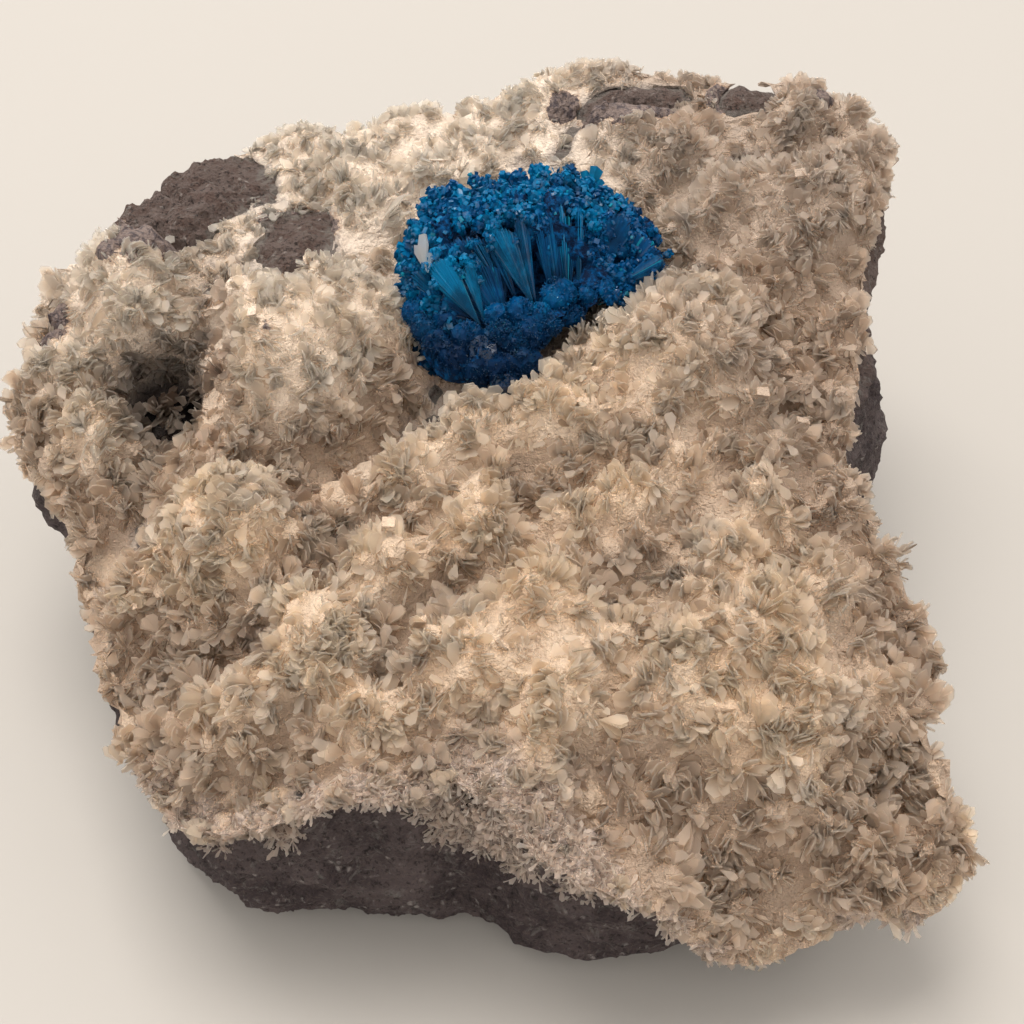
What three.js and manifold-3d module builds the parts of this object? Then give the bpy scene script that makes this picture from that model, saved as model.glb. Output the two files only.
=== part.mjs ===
// Cavansite on stilbite, on a chunk of basalt: a hand specimen that rests on its flat foot.
// Millimetres, +Z up. The foot lies on z = 0 and the origin is under the middle of the specimen.
import * as THREE from 'three';
import { mergeVertices } from 'three/addons/utils/BufferGeometryUtils.js';
import Module from 'manifold-3d';

const wasm = await Module();
wasm.setup();

// ---- Driving dimensions ----

const gap = 0.3; // left between pieces that grew against each other
const sky = 60; // height of the raw walls, above everything that is kept
const blockWidth = 76; // width of the raw blocks that the relief is cut from
const crustCell = 2; // grid of the crust's relief
const rockCell = 3.3; // grid of the broken rock's relief
const wallSegments = 72; // facets round the specimen
const crustOverhang = 0.5; // how far the crust stands past the rock
const crustFilm = 0.9; // crust in the hollows, over the rock
const bareRecess = 1.6; // how far the crust's surface dives where the rock is bare
const rockBelowGround = 0.6;
const rockRoughness = 0.25;
const bareRockRise = 0.9;
const crustRoughness = 0.15;
const gridJitter = 0.28; // share of a cell that grid points stray sideways

// The broken plane under it all: height at the origin, rise per mm towards +X and +Y, and the share of the
// reach where it starts to bend to the edge.
const plane = { height: 22.1, alongX: 0.03, alongY: 0.2, bendsFrom: 0.62 };

// The specimen's edge seen from above, clockwise from the left: [x, y, height of the rock's edge].
const edge = [
  [-33, 2, 18], [-32.5, 9, 21], [-32.5, 13.5, 22.5], [-29, 17, 24.5], [-26, 22, 25.5], [-21.5, 27, 27],
  [-14.5, 28.5, 28], [-8, 28.5, 28.5], [-3, 29.5, 29.5], [3, 32, 30], [8.5, 33, 31], [13.5, 31.5, 31],
  [21, 29.5, 31], [26.5, 30.5, 31], [30.5, 29, 30.5], [33, 25, 29.5], [33, 22, 28.5], [32, 19.5, 27.5],
  [29.5, 13.5, 26.5], [27.5, 9, 25], [26.5, 3, 23.5], [26, -1.5, 21], [27.5, -7, 19.5], [29.5, -9, 18],
  [30.5, -12.5, 16.5], [31, -16, 15.5], [30, -21.5, 14], [32, -27, 10.5], [31.5, -29, 9], [28, -31, 7.5],
  [24, -30.5, 10], [21, -31.5, 6.5], [16.5, -33, 6], [13.5, -32.5, 9.5], [10.5, -32.5, 14], [6, -32, 15.5],
  [3.5, -30.5, 16.5], [2, -27, 18], [0.5, -26, 18], [-1.5, -28.5, 17], [-4.5, -28, 18], [-9, -28, 16.5],
  [-12.5, -28.5, 14.5], [-16, -27.5, 13], [-18.5, -24.5, 13], [-22, -18, 13], [-25, -12, 14],
  [-28, -5, 14.5], [-30, -1.5, 16],
];

// The foot that it rests on: [x, y].
const foot = [
  [-27, 1], [-28, 8], [-25, 16], [-17, 23], [-8, 25], [4, 28], [14, 28], [24, 26], [28, 19], [27, 10],
  [27, 3], [27, -5], [28, -15], [28, -23], [24, -27], [19, -28.5], [14, -29], [7, -28], [-1, -26],
  [-8, -25.5], [-13, -25.5], [-16, -22], [-20, -14], [-23, -6],
];

// Where the wall stands out past the straight line from foot to edge: [direction in degrees, spread, amount].
const wallBulges = [[11, 15, 3], [-52, 8, 1.2], [-100, 20, 0.6], [150, 30, 0.8]];
const wallRoughness = 0.8;

// Flat fracture faces that trim the wall: [direction in degrees, lean of the face in degrees from upright
// (more is more undercut), reach, height], the last two being a point that the face passes through.
const fractures = [
  [92, 22, 31.5, 24], [128, 19, 33, 20], [165, 22, 32, 14], [200, 20, 28.4, 10], [232, 16, 30.2, 6],
  [262, 6, 28.6, 3], [281, 14, 31.4, 2], [299, 14, 38.4, 5], [325, 24, 40.2, 7], [352, 16, 31.2, 12],
  [25, 20, 34.5, 16], [52, 22, 41, 20], [183, 50, 26.5, 3], [75, 52, 26.5, 3], [10, 48, 28.5, 3],
];

// Rounded lumps of the crust: [x, y, radius, rise over the ground].
const lumps = [
  // the knoll in front of the blue crystals, and its shoulders
  [16, 4, 6.5, 4.4], [11, 4, 4, 2.6], [18.5, -0.5, 3.5, 2.5], [12, -1.5, 3.5, 2],
  // the ridge under the blue crystals
  [6.5, -1.5, 5, 2.9], [1, -2.5, 4, 2.5], [-3.5, -5.5, 4, 2.4],
  // the high lobe at the back left
  [-12.5, 4.5, 6, 4.4], [-16, 7.5, 4, 3.4], [-9.5, 9, 4.5, 2.5], [-5.5, 8, 4, 1.7],
  // the left end
  [-25, 11.5, 5, 3.3], [-29, 5.5, 4.5, 2.9], [-26, 0.5, 4.5, 2.7], [-23, 7, 3.5, 2.6], [-30.5, 11, 4, 2.2],
  [-17.5, -2.5, 4, 2.4], [-24.5, -3.5, 3.5, 2],
  // the front left slope
  [-14.5, -10, 5, 3.5], [-20, -11.5, 4, 2.5], [-11, -7.5, 3.5, 2], [-16.5, -16, 3, 2], [-22, -14.5, 3.5, 1.8],
  [-8.5, -18, 5, 3.3], [-13, -21, 4.5, 2.9], [-17.5, -22, 3.5, 2.2], [-4.5, -13, 4, 2.6],
  [-5.5, -22.5, 4, 2.5],
  // the middle
  [1, -10, 4, 2.4], [5, -15.5, 4.5, 2.7], [0.5, -19.5, 4.5, 2.9], [6, -21.5, 4, 2.5], [-1.5, -23.5, 3, 1.8],
  [10.5, -8, 4, 2.2], [15, -5, 3.5, 2.1], [6.5, -10, 3, 1.8], [4.5, -25.5, 3, 2.1],
  // the right side below the knoll
  [16.5, -12, 3.5, 2.3], [20, -9.5, 3, 1.8], [26, -7, 3.5, 2.4], [28.5, -10.5, 3.5, 2.2], [23, -14, 4, 2.5],
  [18.5, -17.5, 4, 2.5], [14.5, -17.5, 3, 2], [26, -18.5, 4, 2.7], [21, -21, 3.5, 2.4], [16.5, -22, 3.5, 2.4],
  [13, -21, 3, 2], [10, -24, 2.5, 1.8], [9.5, -18, 3, 1.8],
  // the front right corner
  [12.5, -27, 3.5, 3], [16, -25, 3, 2.4], [11, -30.5, 2.5, 2.4], [15, -28.5, 3, 2.5], [20, -24.5, 3.5, 2.9],
  [24, -27, 4, 3.4], [18.5, -29, 3.5, 2.7], [29.5, -26, 3, 2.6], [28, -28.5, 3, 2.4], [28, -23, 2.5, 2.5],
  [8, -29, 2.5, 2.4],
  // the bright lobe at the back right
  [25, 15.5, 5, 3.8], [20.5, 18, 4.5, 3.1], [28.5, 17, 3.5, 2.5], [16.5, 16, 3.5, 1.7], [21.5, 11, 4, 2.4],
  [26, 7.5, 3.5, 2], [23.5, 4, 3, 2.5], [26, 0.5, 3, 1.9], [21, -4, 3.5, 2.3],
  // the low band along the back
  [0.5, 27.5, 3.5, 1.6], [7, 29.5, 4, 1.6], [12, 26, 3.5, 1.5], [16.5, 24.5, 4, 1.6], [25.5, 27, 4, 2.2],
  [30, 27.5, 4, 2], [31, 21.5, 4, 2.4], [13, 21.5, 3, 1.1], [-14, 29, 4, 1.6], [-9, 26.5, 4, 2],
  [-5, 29, 3.5, 1.6], [-9.5, 22, 3.5, 1.6], [-3, 22.5, 4, 1.8], [-7, 18.5, 4, 1.5], [-13.5, 25, 2.5, 1.1],
];

const lumpBoldness = 1.1; // on every rise in the list
const lumpSteepness = 0.85; // height of a dome over its radius
const lumpSeam = 1; // width of the rounded seam between lumps
const lumpShoulder = 0.86; // share of the radius where a dome turns into its straight flank

// The deep dark pit at the left, which goes through the crust: [x, y, radius, depth].
const pit = [-21.3, 3.6, 2, 7];
const pitInRock = 0.43; // share of its depth that the rock dips by

// Hollows in the ground under the crust: [x, y, radius, depth].
const hollows = [
  [-19, -1, 3, 2.4], [-14.5, -3, 4, 2.2], [-9, -3.5, 4, 2.4], [-4.5, 0, 4, 2.4],
  [-2, 1.5, 3.5, 1.6], [-13.5, -16.5, 3, 1.6], [8.5, -27, 2.5, 2.4], [23, 6, 3, 2.2], [22.5, 1.5, 3.5, 2.4],
  [28, -23.5, 2, 1.4], [4, 10.5, 7, 1.6], [13, 13, 4, 1.2], [15, -9, 3, 1], [11.5, -13.5, 2.5, 1],
];

// Where the rock shows through the crust: [x, y, radius].
const barePatches = [
  [-28, 18.5, 3], [-25.5, 21, 3.8], [-22.5, 23.5, 3.6], [-20.5, 24.5, 3.2], [-18, 22, 2], [-22, 17.5, 2.6],
  [-13.5, 16, 2], [-12, 17.8, 2], [-33, 10.5, 1.6], [8.6, 27, 1.3], [11.5, 28, 1.6], [14.5, 28.2, 1.6],
  [21.3, 28.5, 1.6], [23.3, 28.6, 1.6], [30.5, 30, 2],
];

// Blades of stilbite that are large enough to tell apart.
const bladeCount = 22;
const bladeLength = [2.4, 3.4];
const bladeWidth = [1.1, 1.7];
const bladeThickness = [0.4, 0.6];
const bladeLean = 0.9; // radians away from the crust's own direction, at most
const bladeInset = 1.6; // how far the blades stay from the edge
const bladeSunk = 0.55; // share of a blade that is inside the crust
const blueClearance = 2; // kept free of blades round the blue crystals

// The blue crystals are two split balls, grown side by side, with buttons of short crystals at their foot.
// A fan is [lean away from the front, first direction, last direction, number, length], in degrees and mm.
const mainRoot = new THREE.Vector3(3.4, 6.2, 23.6);
const mainFans = [
  [-8, 12, 196, 13, 11.4],
  [16, 4, 190, 11, 12.8],
  [38, 10, 184, 8, 12.4],
];
const sideRoot = new THREE.Vector3(12, 12.6, 24.6);
const sideFans = [
  [-36, -30, 150, 4, 4.6],
  [-4, -20, 160, 7, 5.6],
  [32, -10, 130, 4, 5.4],
];
// Buttons: [x, y, z, length of the crystals].
const buttons = [
  [6.6, 6, 25.6, 2], [4, 4.4, 24.4, 2.8], [1, 3.2, 23.6, 3], [-1.8, 5.6, 24, 3.2],
];
const buttonCrystals = 7;
const blueFootprint = [[3, 9.5, 8], [12, 12.6, 4.5]]; // circles that hold both balls: [x, y, radius]
// The solid heart of the main ball, behind the blades that face the front.
const heart = { up: 4.2, back: 3.4, halfWidth: 8, halfHeight: 7, halfDepth: 4.6 };
const blueCrystal = { root: 0.4, shoulder: 1.1, tip: 0.6, sides: 5 };
// The low end of the crystals that face the front is shorter than the crown by this share.
const fanShortening = 0.32;

// ---- Small helpers ----

// Repeatable random numbers from 0 to 1 (mulberry32).
function randomFrom(seed) {
  let state = seed;
  return () => {
    state = (state + 0x6d2b79f5) | 0;
    let t = Math.imul(state ^ (state >>> 15), 1 | state);
    t = (t + Math.imul(t ^ (t >>> 7), 61 | t)) ^ t;
    return ((t ^ (t >>> 14)) >>> 0) / 4294967296;
  };
}

// The same number from -1 to 1 for the same place each time.
function scatter(a, b, c = 0) {
  const s = Math.sin(a * 12.9898 + b * 78.233 + c * 37.719) * 43758.5453;
  return 2 * (s - Math.floor(s)) - 1;
}

const within = ([low, high], share) => low + (high - low) * share;

// The higher of two heights, with a rounded seam of the given width.
function blendHigher(a, b, width) {
  const h = THREE.MathUtils.clamp(0.5 + (0.5 * (a - b)) / width, 0, 1);
  return b + (a - b) * h + width * h * (1 - h);
}

// A closed outline as reach (and height, if its points hold one) in each direction from the origin.
function outlineByAngle(points) {
  const turns = points
    .map(([x, y, z = 0]) => ({ angle: Math.atan2(y, x), reach: Math.hypot(x, y), z }))
    .sort((a, b) => a.angle - b.angle);
  const first = { ...turns[0], angle: turns[0].angle + 2 * Math.PI };
  const last = { ...turns.at(-1), angle: turns.at(-1).angle - 2 * Math.PI };
  const ring = [last, ...turns, first];
  return (angle) => {
    const i = ring.findIndex((point) => point.angle > angle);
    const [from, to] = [ring[i - 1], ring[i]];
    const share = (angle - from.angle) / (to.angle - from.angle);
    return { reach: within([from.reach, to.reach], share), z: within([from.z, to.z], share) };
  };
}

const edgeAt = outlineByAngle(edge);
const footAt = outlineByAngle(foot);

function solidOf(geometry) {
  const bare = new THREE.BufferGeometry();
  bare.setAttribute('position', geometry.getAttribute('position'));
  bare.setIndex(geometry.index);
  const welded = mergeVertices(bare, 1e-4);
  return new wasm.Manifold(
    new wasm.Mesh({
      numProp: 3,
      vertProperties: welded.attributes.position.array,
      triVerts: new Uint32Array(welded.index.array),
    }),
  );
}

// Crumbs that a cut sets free are left out.
function largestBody(solid) {
  return solid.decompose().reduce((a, b) => (b.volume() > a.volume() ? b : a));
}

function meshOf(name, solid, material) {
  const { numProp, vertProperties, triVerts } = solid.getMesh();
  const corners = new Float32Array((vertProperties.length / numProp) * 3);
  for (let i = 0; i < corners.length / 3; i++) {
    corners.set(vertProperties.subarray(i * numProp, i * numProp + 3), i * 3);
  }
  const geometry = new THREE.BufferGeometry();
  geometry.setAttribute('position', new THREE.BufferAttribute(corners, 3));
  geometry.setIndex(new THREE.BufferAttribute(new Uint32Array(triVerts), 1));
  const faceted = geometry.toNonIndexed();
  faceted.computeVertexNormals();
  const mesh = new THREE.Mesh(faceted, new THREE.MeshStandardMaterial({ ...material, flatShading: true }));
  mesh.name = name;
  return mesh;
}

// ---- Relief ----

// The broken surface that the crust grew on, before lumps: a plane that leans forward and meets the edge.
function sheet(x, y) {
  const { reach, z } = edgeAt(Math.atan2(y, x));
  const flat = plane.height + plane.alongX * x + plane.alongY * y;
  return within([flat, z], THREE.MathUtils.smoothstep(Math.hypot(x, y) / reach, plane.bendsFrom, 1));
}

function dip(x, y, [hx, hy, radius, depth]) {
  return depth * Math.exp((-1.2 * ((x - hx) ** 2 + (y - hy) ** 2)) / radius ** 2);
}

function ground(x, y) {
  return hollows.reduce((height, hollow) => height - dip(x, y, hollow), sheet(x, y));
}

const lumpTops = lumps.map(([x, y, , rise]) => ground(x, y) + rise * lumpBoldness);

// One lump: a low dome whose flank runs on down as a straight slope.
function lumpHeight(x, y, [lx, ly, radius], top) {
  const far = Math.hypot(x - lx, y - ly) / radius;
  const round = Math.min(far, lumpShoulder);
  const dome = Math.sqrt(1 - round * round);
  const flank = ((far - round) * lumpShoulder) / Math.sqrt(1 - lumpShoulder ** 2);
  return top - lumpSteepness * radius * (1 - dome + flank);
}

function lumpyGround(x, y) {
  const lumpy = lumps.reduce((height, lump, i) => {
    return blendHigher(lumpHeight(x, y, lump, lumpTops[i]), height, lumpSeam);
  }, ground(x, y));
  return lumpy - dip(x, y, pit);
}

// 1 where the rock is bare, 0 where the crust covers it.
function bareness(x, y) {
  return barePatches.reduce((most, [bx, by, radius]) => {
    const far = Math.hypot(x - bx, y - by) / radius;
    return Math.max(most, 1 - THREE.MathUtils.smoothstep(far, 0.8, 1.25));
  }, 0);
}

function crustTop(x, y) {
  const bare = bareness(x, y);
  const lumpy = lumpyGround(x, y) + crustFilm + crustRoughness * scatter(x, y);
  return within([lumpy, ground(x, y) - bareRecess], bare);
}

function rockTop(x, y) {
  const rise = bareRockRise * bareness(x, y) + rockRoughness * scatter(x, y, 2);
  return ground(x, y) - pitInRock * dip(x, y, pit) - rockBelowGround + rise;
}

// ---- Raw blocks ----

// Everything under a relief: a slab with a gridded top that is lifted to the relief.
function blockUnder(heightAt, cell, lift = 0) {
  const cells = Math.round(blockWidth / cell);
  const slab = new THREE.BoxGeometry(blockWidth, blockWidth, 1, cells, cells, 1);
  const places = slab.getAttribute('position');
  for (let i = 0; i < places.count; i++) {
    const [x, y] = [places.getX(i), places.getY(i)];
    const jx = x + gridJitter * cell * scatter(x, y, 5);
    const jy = y + gridJitter * cell * scatter(x, y, 9);
    const top = places.getZ(i) > 0;
    places.setXYZ(i, jx, jy, top ? heightAt(jx, jy) + lift : -5);
  }
  return solidOf(slab);
}

// The wall all round, as rings from the foot up: [share of the edge's height, share of the way out from the
// foot to the edge, share of the bulge].
const wallRings = [[0, 0, 0], [0.14, 0.42, 0.6], [0.42, 0.72, 1], [0.8, 0.92, 1], [1, 1, 0], [1, 1, 0]];

function wallReach(angle, ring, outset) {
  const [, outward, belly] = wallRings[ring];
  const straight = within([footAt(angle).reach, edgeAt(angle).reach], outward);
  const bulge = wallBulges.reduce((sum, [middle, spread, amount]) => {
    const off = angle - THREE.MathUtils.degToRad(middle);
    const away = THREE.MathUtils.radToDeg(Math.acos(Math.cos(off)));
    return sum + amount * Math.exp(-((away / spread) ** 2));
  }, 0);
  const broken = belly > 0 ? wallRoughness * scatter(angle, ring) : 0;
  return straight + bulge * belly + broken + outset;
}

function walledBlock(outset) {
  const block = new THREE.CylinderGeometry(1, 1, 1, wallSegments, wallRings.length - 1);
  block.rotateX(Math.PI / 2);
  const places = block.getAttribute('position');
  for (let i = 0; i < places.count; i++) {
    const [x, y, level] = [places.getX(i), places.getY(i), places.getZ(i) + 0.5];
    const ring = Math.round(level * (wallRings.length - 1));
    const top = ring === wallRings.length - 1;
    if (Math.hypot(x, y) < 0.5) {
      places.setXYZ(i, 0, 0, top ? sky : 0);
      continue;
    }
    const angle = Math.atan2(y, x);
    const reach = wallReach(angle, ring, outset);
    const z = top ? sky : wallRings[ring][0] * edgeAt(angle).z;
    places.setXYZ(i, reach * Math.cos(angle), reach * Math.sin(angle), z);
  }
  return solidOf(block);
}

// Everything outside one fracture face.
function outsideOf([direction, lean, reach, height]) {
  const size = 4 * sky;
  const waste = new THREE.BoxGeometry(size, size, size).translate(size / 2, 0, 0);
  waste.rotateY(THREE.MathUtils.degToRad(lean)).translate(reach, 0, height);
  return solidOf(waste.rotateZ(THREE.MathUtils.degToRad(direction)));
}

// ---- Stilbite blades on the crust ----

function blueFootprintDistance(x, y) {
  return Math.min(...blueFootprint.map(([cx, cy, radius]) => Math.hypot(x - cx, y - cy) - radius));
}

function crustNormal(x, y) {
  const step = 0.4;
  const slopeX = (lumpyGround(x + step, y) - lumpyGround(x - step, y)) / (2 * step);
  const slopeY = (lumpyGround(x, y + step) - lumpyGround(x, y - step)) / (2 * step);
  return new THREE.Vector3(-slopeX, -slopeY, 1).normalize();
}

// A flat six-sided blade with pointed ends, standing on its tip at the origin, along +Z.
function bladeGeometry(length, width, thickness) {
  const outline = new THREE.Shape([
    new THREE.Vector2(0, 0),
    new THREE.Vector2(width / 2, 0.22 * length),
    new THREE.Vector2(width / 2, 0.8 * length),
    new THREE.Vector2(0.12 * width, length),
    new THREE.Vector2(-width / 2, 0.84 * length),
    new THREE.Vector2(-width / 2, 0.22 * length),
  ]);
  const blade = new THREE.ExtrudeGeometry(outline, { depth: thickness, bevelEnabled: false });
  return blade.translate(0, 0, -thickness / 2).rotateX(Math.PI / 2);
}

function makeBlades() {
  const random = randomFrom(21);
  const up = new THREE.Vector3(0, 0, 1);
  const blades = [];
  while (blades.length < bladeCount) {
    const angle = random() * 2 * Math.PI - Math.PI;
    const reach = Math.sqrt(random()) * (edgeAt(angle).reach - bladeInset);
    const [x, y] = [reach * Math.cos(angle), reach * Math.sin(angle)];
    const [lean, turn] = [bladeLean * random(), random() * 2 * Math.PI];
    const size = [bladeLength, bladeWidth, bladeThickness].map((range) => within(range, random()));
    if (bareness(x, y) > 0 || blueFootprintDistance(x, y) < blueClearance) continue;
    const sideways = new THREE.Vector3(Math.cos(turn), Math.sin(turn), 0);
    sideways.multiplyScalar(2 * Math.tan(lean / 2));
    const direction = crustNormal(x, y).add(sideways).normalize();
    const blade = bladeGeometry(...size);
    const turned = new THREE.Quaternion().setFromUnitVectors(up, direction);
    turned.multiply(new THREE.Quaternion().setFromAxisAngle(up, turn * 2));
    blade.applyQuaternion(turned);
    const root = new THREE.Vector3(x, y, crustTop(x, y)).addScaledVector(direction, -bladeSunk * size[0]);
    blade.translate(root.x, root.y, root.z);
    blades.push(solidOf(blade));
  }
  return blades;
}

// ---- Blue crystals ----

// A crystal that widens from its root to its shoulder and ends in a low point, along +Y from the origin.
function crystalGeometry(length, girth = 1) {
  const { root, shoulder, tip, sides } = blueCrystal;
  const crystal = new THREE.CylinderGeometry(shoulder * girth, root * girth, length - tip, sides, 1);
  crystal.translate(0, (length - tip) / 2, 0);
  const places = crystal.getAttribute('position');
  for (let i = 0; i < places.count; i++) {
    const onAxis = Math.hypot(places.getX(i), places.getZ(i)) < 0.01;
    if (onAxis && places.getY(i) > 0.5 * length) places.setY(i, length);
  }
  return crystal;
}

function placeCrystal(root, direction, length, girth, turn) {
  const along = new THREE.Vector3(0, 1, 0);
  const crystal = crystalGeometry(length, girth).rotateY(turn);
  crystal.applyQuaternion(new THREE.Quaternion().setFromUnitVectors(along, direction));
  return solidOf(crystal.translate(root.x, root.y, root.z));
}

// The fans spread in a plane that leans back by 45 degrees, square to the line of sight from the front.
const fanRight = new THREE.Vector3(1, 0, 0);
const fanUp = new THREE.Vector3(0, Math.SQRT1_2, Math.SQRT1_2);
const fanBack = new THREE.Vector3(0, Math.SQRT1_2, -Math.SQRT1_2);

function fanDirection(lean, around) {
  const [a, t] = [THREE.MathUtils.degToRad(around), THREE.MathUtils.degToRad(lean)];
  return new THREE.Vector3()
    .addScaledVector(fanRight, Math.cos(a) * Math.cos(t))
    .addScaledVector(fanUp, Math.sin(a) * Math.cos(t))
    .addScaledVector(fanBack, Math.sin(t));
}

function makeFans(root, fans, random, girth) {
  return fans.flatMap(([lean, from, to, count, length]) =>
    Array.from({ length: count }, (_, i) => {
      const around = within([from, to], (i + 0.5 * random()) / (count - 0.5));
      const low = 1 - Math.sin(THREE.MathUtils.degToRad(THREE.MathUtils.clamp(around, 0, 180)));
      const own = length * (1 - fanShortening * low) * (0.93 + 0.1 * random());
      const tilted = lean + 8 * (random() - 0.5);
      const ownGirth = girth * (0.85 + 0.3 * random());
      return placeCrystal(root, fanDirection(tilted, around), own, ownGirth, 6 * random());
    }),
  );
}

function makeButton([x, y, z, length], random) {
  return Array.from({ length: buttonCrystals }, (_, i) => {
    const around = 137.5 * i;
    const lean = -80 + (110 * (i + 0.5)) / buttonCrystals;
    const own = length * (0.85 + 0.2 * random());
    return placeCrystal(new THREE.Vector3(x, y, z), fanDirection(lean, around), own, 0.75, 6 * random());
  });
}

function makeHeart() {
  const { up, back, halfWidth, halfHeight, halfDepth } = heart;
  const ball = new THREE.IcosahedronGeometry(1, 2);
  ball.scale(halfWidth, halfHeight, halfDepth);
  ball.applyMatrix4(new THREE.Matrix4().makeBasis(fanRight, fanUp, fanBack.clone().negate()));
  const middle = mainRoot.clone().addScaledVector(fanUp, up).addScaledVector(fanBack, back);
  return solidOf(ball.translate(middle.x, middle.y, middle.z));
}

function makeBlue() {
  const random = randomFrom(7);
  return wasm.Manifold.union([
    makeHeart(),
    ...makeFans(mainRoot, mainFans, random, 1),
    ...makeFans(sideRoot, sideFans, random, 0.9),
    ...buttons.flatMap((button) => makeButton(button, random)),
  ]);
}

// ---- The three pieces ----

const rockRelief = blockUnder(rockTop, rockCell);
const brokenBlock = fractures.reduce((block, face) => block.subtract(outsideOf(face)), walledBlock(0));
const rock = largestBody(brokenBlock.intersect(rockRelief));

const aboveRock = blockUnder(rockTop, rockCell, gap);
const crustBlock = walledBlock(crustOverhang).intersect(blockUnder(crustTop, crustCell));
const crust = largestBody(wasm.Manifold.union([crustBlock, ...makeBlades()]).subtract(aboveRock));

const blue = largestBody(makeBlue().subtract(blockUnder(crustTop, crustCell, gap)));

const specimen = new THREE.Group();
specimen.name = 'cavansite_specimen';
specimen.add(meshOf('basalt_matrix', rock, { color: '#4d4449', roughness: 0.92, metalness: 0 }));
specimen.add(meshOf('stilbite_crust', crust, { color: '#cdb292', roughness: 0.45, metalness: 0 }));
specimen.add(meshOf('cavansite_cluster', blue, { color: '#0b5c8a', roughness: 0.35, metalness: 0 }));

export default specimen;
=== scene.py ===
import math
from itertools import product

import bmesh
import bpy
import numpy as np
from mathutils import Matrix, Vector
from mathutils.bvhtree import BVHTree
from mathutils.kdtree import KDTree


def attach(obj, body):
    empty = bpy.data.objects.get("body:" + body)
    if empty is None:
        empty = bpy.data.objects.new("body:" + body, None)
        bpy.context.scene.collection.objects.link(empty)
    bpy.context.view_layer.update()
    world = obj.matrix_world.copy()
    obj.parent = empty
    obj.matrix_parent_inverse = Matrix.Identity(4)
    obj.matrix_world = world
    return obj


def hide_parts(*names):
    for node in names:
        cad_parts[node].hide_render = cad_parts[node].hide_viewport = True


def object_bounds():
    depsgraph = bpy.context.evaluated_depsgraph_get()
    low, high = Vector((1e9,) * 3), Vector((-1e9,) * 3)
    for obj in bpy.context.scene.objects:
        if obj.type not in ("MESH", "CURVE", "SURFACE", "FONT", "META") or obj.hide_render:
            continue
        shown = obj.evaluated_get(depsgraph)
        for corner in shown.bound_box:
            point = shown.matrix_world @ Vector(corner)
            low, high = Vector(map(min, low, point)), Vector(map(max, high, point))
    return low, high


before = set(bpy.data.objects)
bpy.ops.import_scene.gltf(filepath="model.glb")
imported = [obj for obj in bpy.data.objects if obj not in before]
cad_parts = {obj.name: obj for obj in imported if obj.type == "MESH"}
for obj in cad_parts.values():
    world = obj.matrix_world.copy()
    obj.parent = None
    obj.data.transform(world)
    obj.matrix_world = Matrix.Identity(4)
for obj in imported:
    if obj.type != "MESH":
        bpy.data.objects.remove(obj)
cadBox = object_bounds()
mm = 0.001  # lengths below are in millimetres, the scene is in metres
print("frame loaded:", ", ".join(sorted(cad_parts)))


view = {
    "place": (3.28, -74.29, 86.68),
    "aim": (3.28, -7.12, 19.5),
    "lens": 50,
    "sensorWidth": 36,
    "clip": (0.005, 20),  # metres
}
studio = {
    "floorWidth": 3000,
    "floorColour": (0.425, 0.395, 0.362),
    "floorRoughness": 0.6,
    "floorDrift": (0.08, 0.9),  # share of the drift, and how dark it is
    "sky": (1.0, 0.975, 0.94),
    "skyStrength": 1.18,
    "light": {"max_bounces": 14, "diffuse_bounces": 4, "transmission_bounces": 12,
              "adaptive_threshold": 0.1, "use_light_tree": False},
    # name: place, aim, width, watts, colour
    "lights": {
        "windowLight": ((-95, 165, 700), (0, 0, 10), 420, 4.3, (1.0, 0.965, 0.92)),
    },
}


def aimedAt(thing, place, aim):
    thing.location = Vector(place) * mm
    look = Vector(aim) * mm - thing.location
    thing.rotation_euler = look.to_track_quat("-Z", "Y").to_euler()


def addCamera():
    data = bpy.data.cameras.new("camera")
    data.lens = view["lens"]
    data.sensor_width = view["sensorWidth"]
    data.clip_start, data.clip_end = view["clip"]
    camera = bpy.data.objects.new("camera", data)
    aimedAt(camera, view["place"], view["aim"])
    bpy.context.scene.collection.objects.link(camera)
    bpy.context.scene.camera = camera


def addLights():
    for name, (place, aim, width, watts, colour) in studio["lights"].items():
        data = bpy.data.lights.new(name, "AREA")
        data.size = width * mm
        data.energy = watts
        data.color = colour
        lamp = bpy.data.objects.new(name, data)
        aimedAt(lamp, place, aim)
        bpy.context.scene.collection.objects.link(lamp)
    world = bpy.data.worlds.new("studioWorld")
    world.use_nodes = True
    sky = world.node_tree.nodes["Background"]
    sky.inputs["Color"].default_value = (*studio["sky"], 1)
    sky.inputs["Strength"].default_value = studio["skyStrength"]
    world.cycles.sampling_method = "NONE"  # the sky is even, so it needs no map
    bpy.context.scene.world = world
    bpy.context.scene.view_settings.view_transform = "Standard"
    for kind, limit in studio["light"].items():
        setattr(bpy.context.scene.cycles, kind, limit)


class Wire:
    # a socket, or a sum of sockets, that Python's own operators work on
    def __init__(self, finish, socket):
        self.finish = finish
        self.socket = socket

    def maths(self, operation, *values):
        sockets = dict(enumerate(values))
        return self.finish.node("ShaderNodeMath", {"operation": operation}, sockets)

    def __add__(self, other):
        return self.maths("ADD", self, other)

    def __radd__(self, other):
        return self.maths("ADD", other, self)

    def __sub__(self, other):
        return self.maths("SUBTRACT", self, other)

    def __rsub__(self, other):
        return self.maths("SUBTRACT", other, self)

    def __mul__(self, other):
        return self.maths("MULTIPLY", self, other)

    def __rmul__(self, other):
        return self.maths("MULTIPLY", other, self)

    def fraction(self):
        return self.maths("FRACT", self)

    def between(self, low, high):
        # 0 below low, 1 above high, with a soft step between
        settings = {"interpolation_type": "SMOOTHSTEP"}
        sockets = {"Value": self, "From Min": low, "From Max": high}
        return self.finish.node("ShaderNodeMapRange", settings, sockets)


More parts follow.
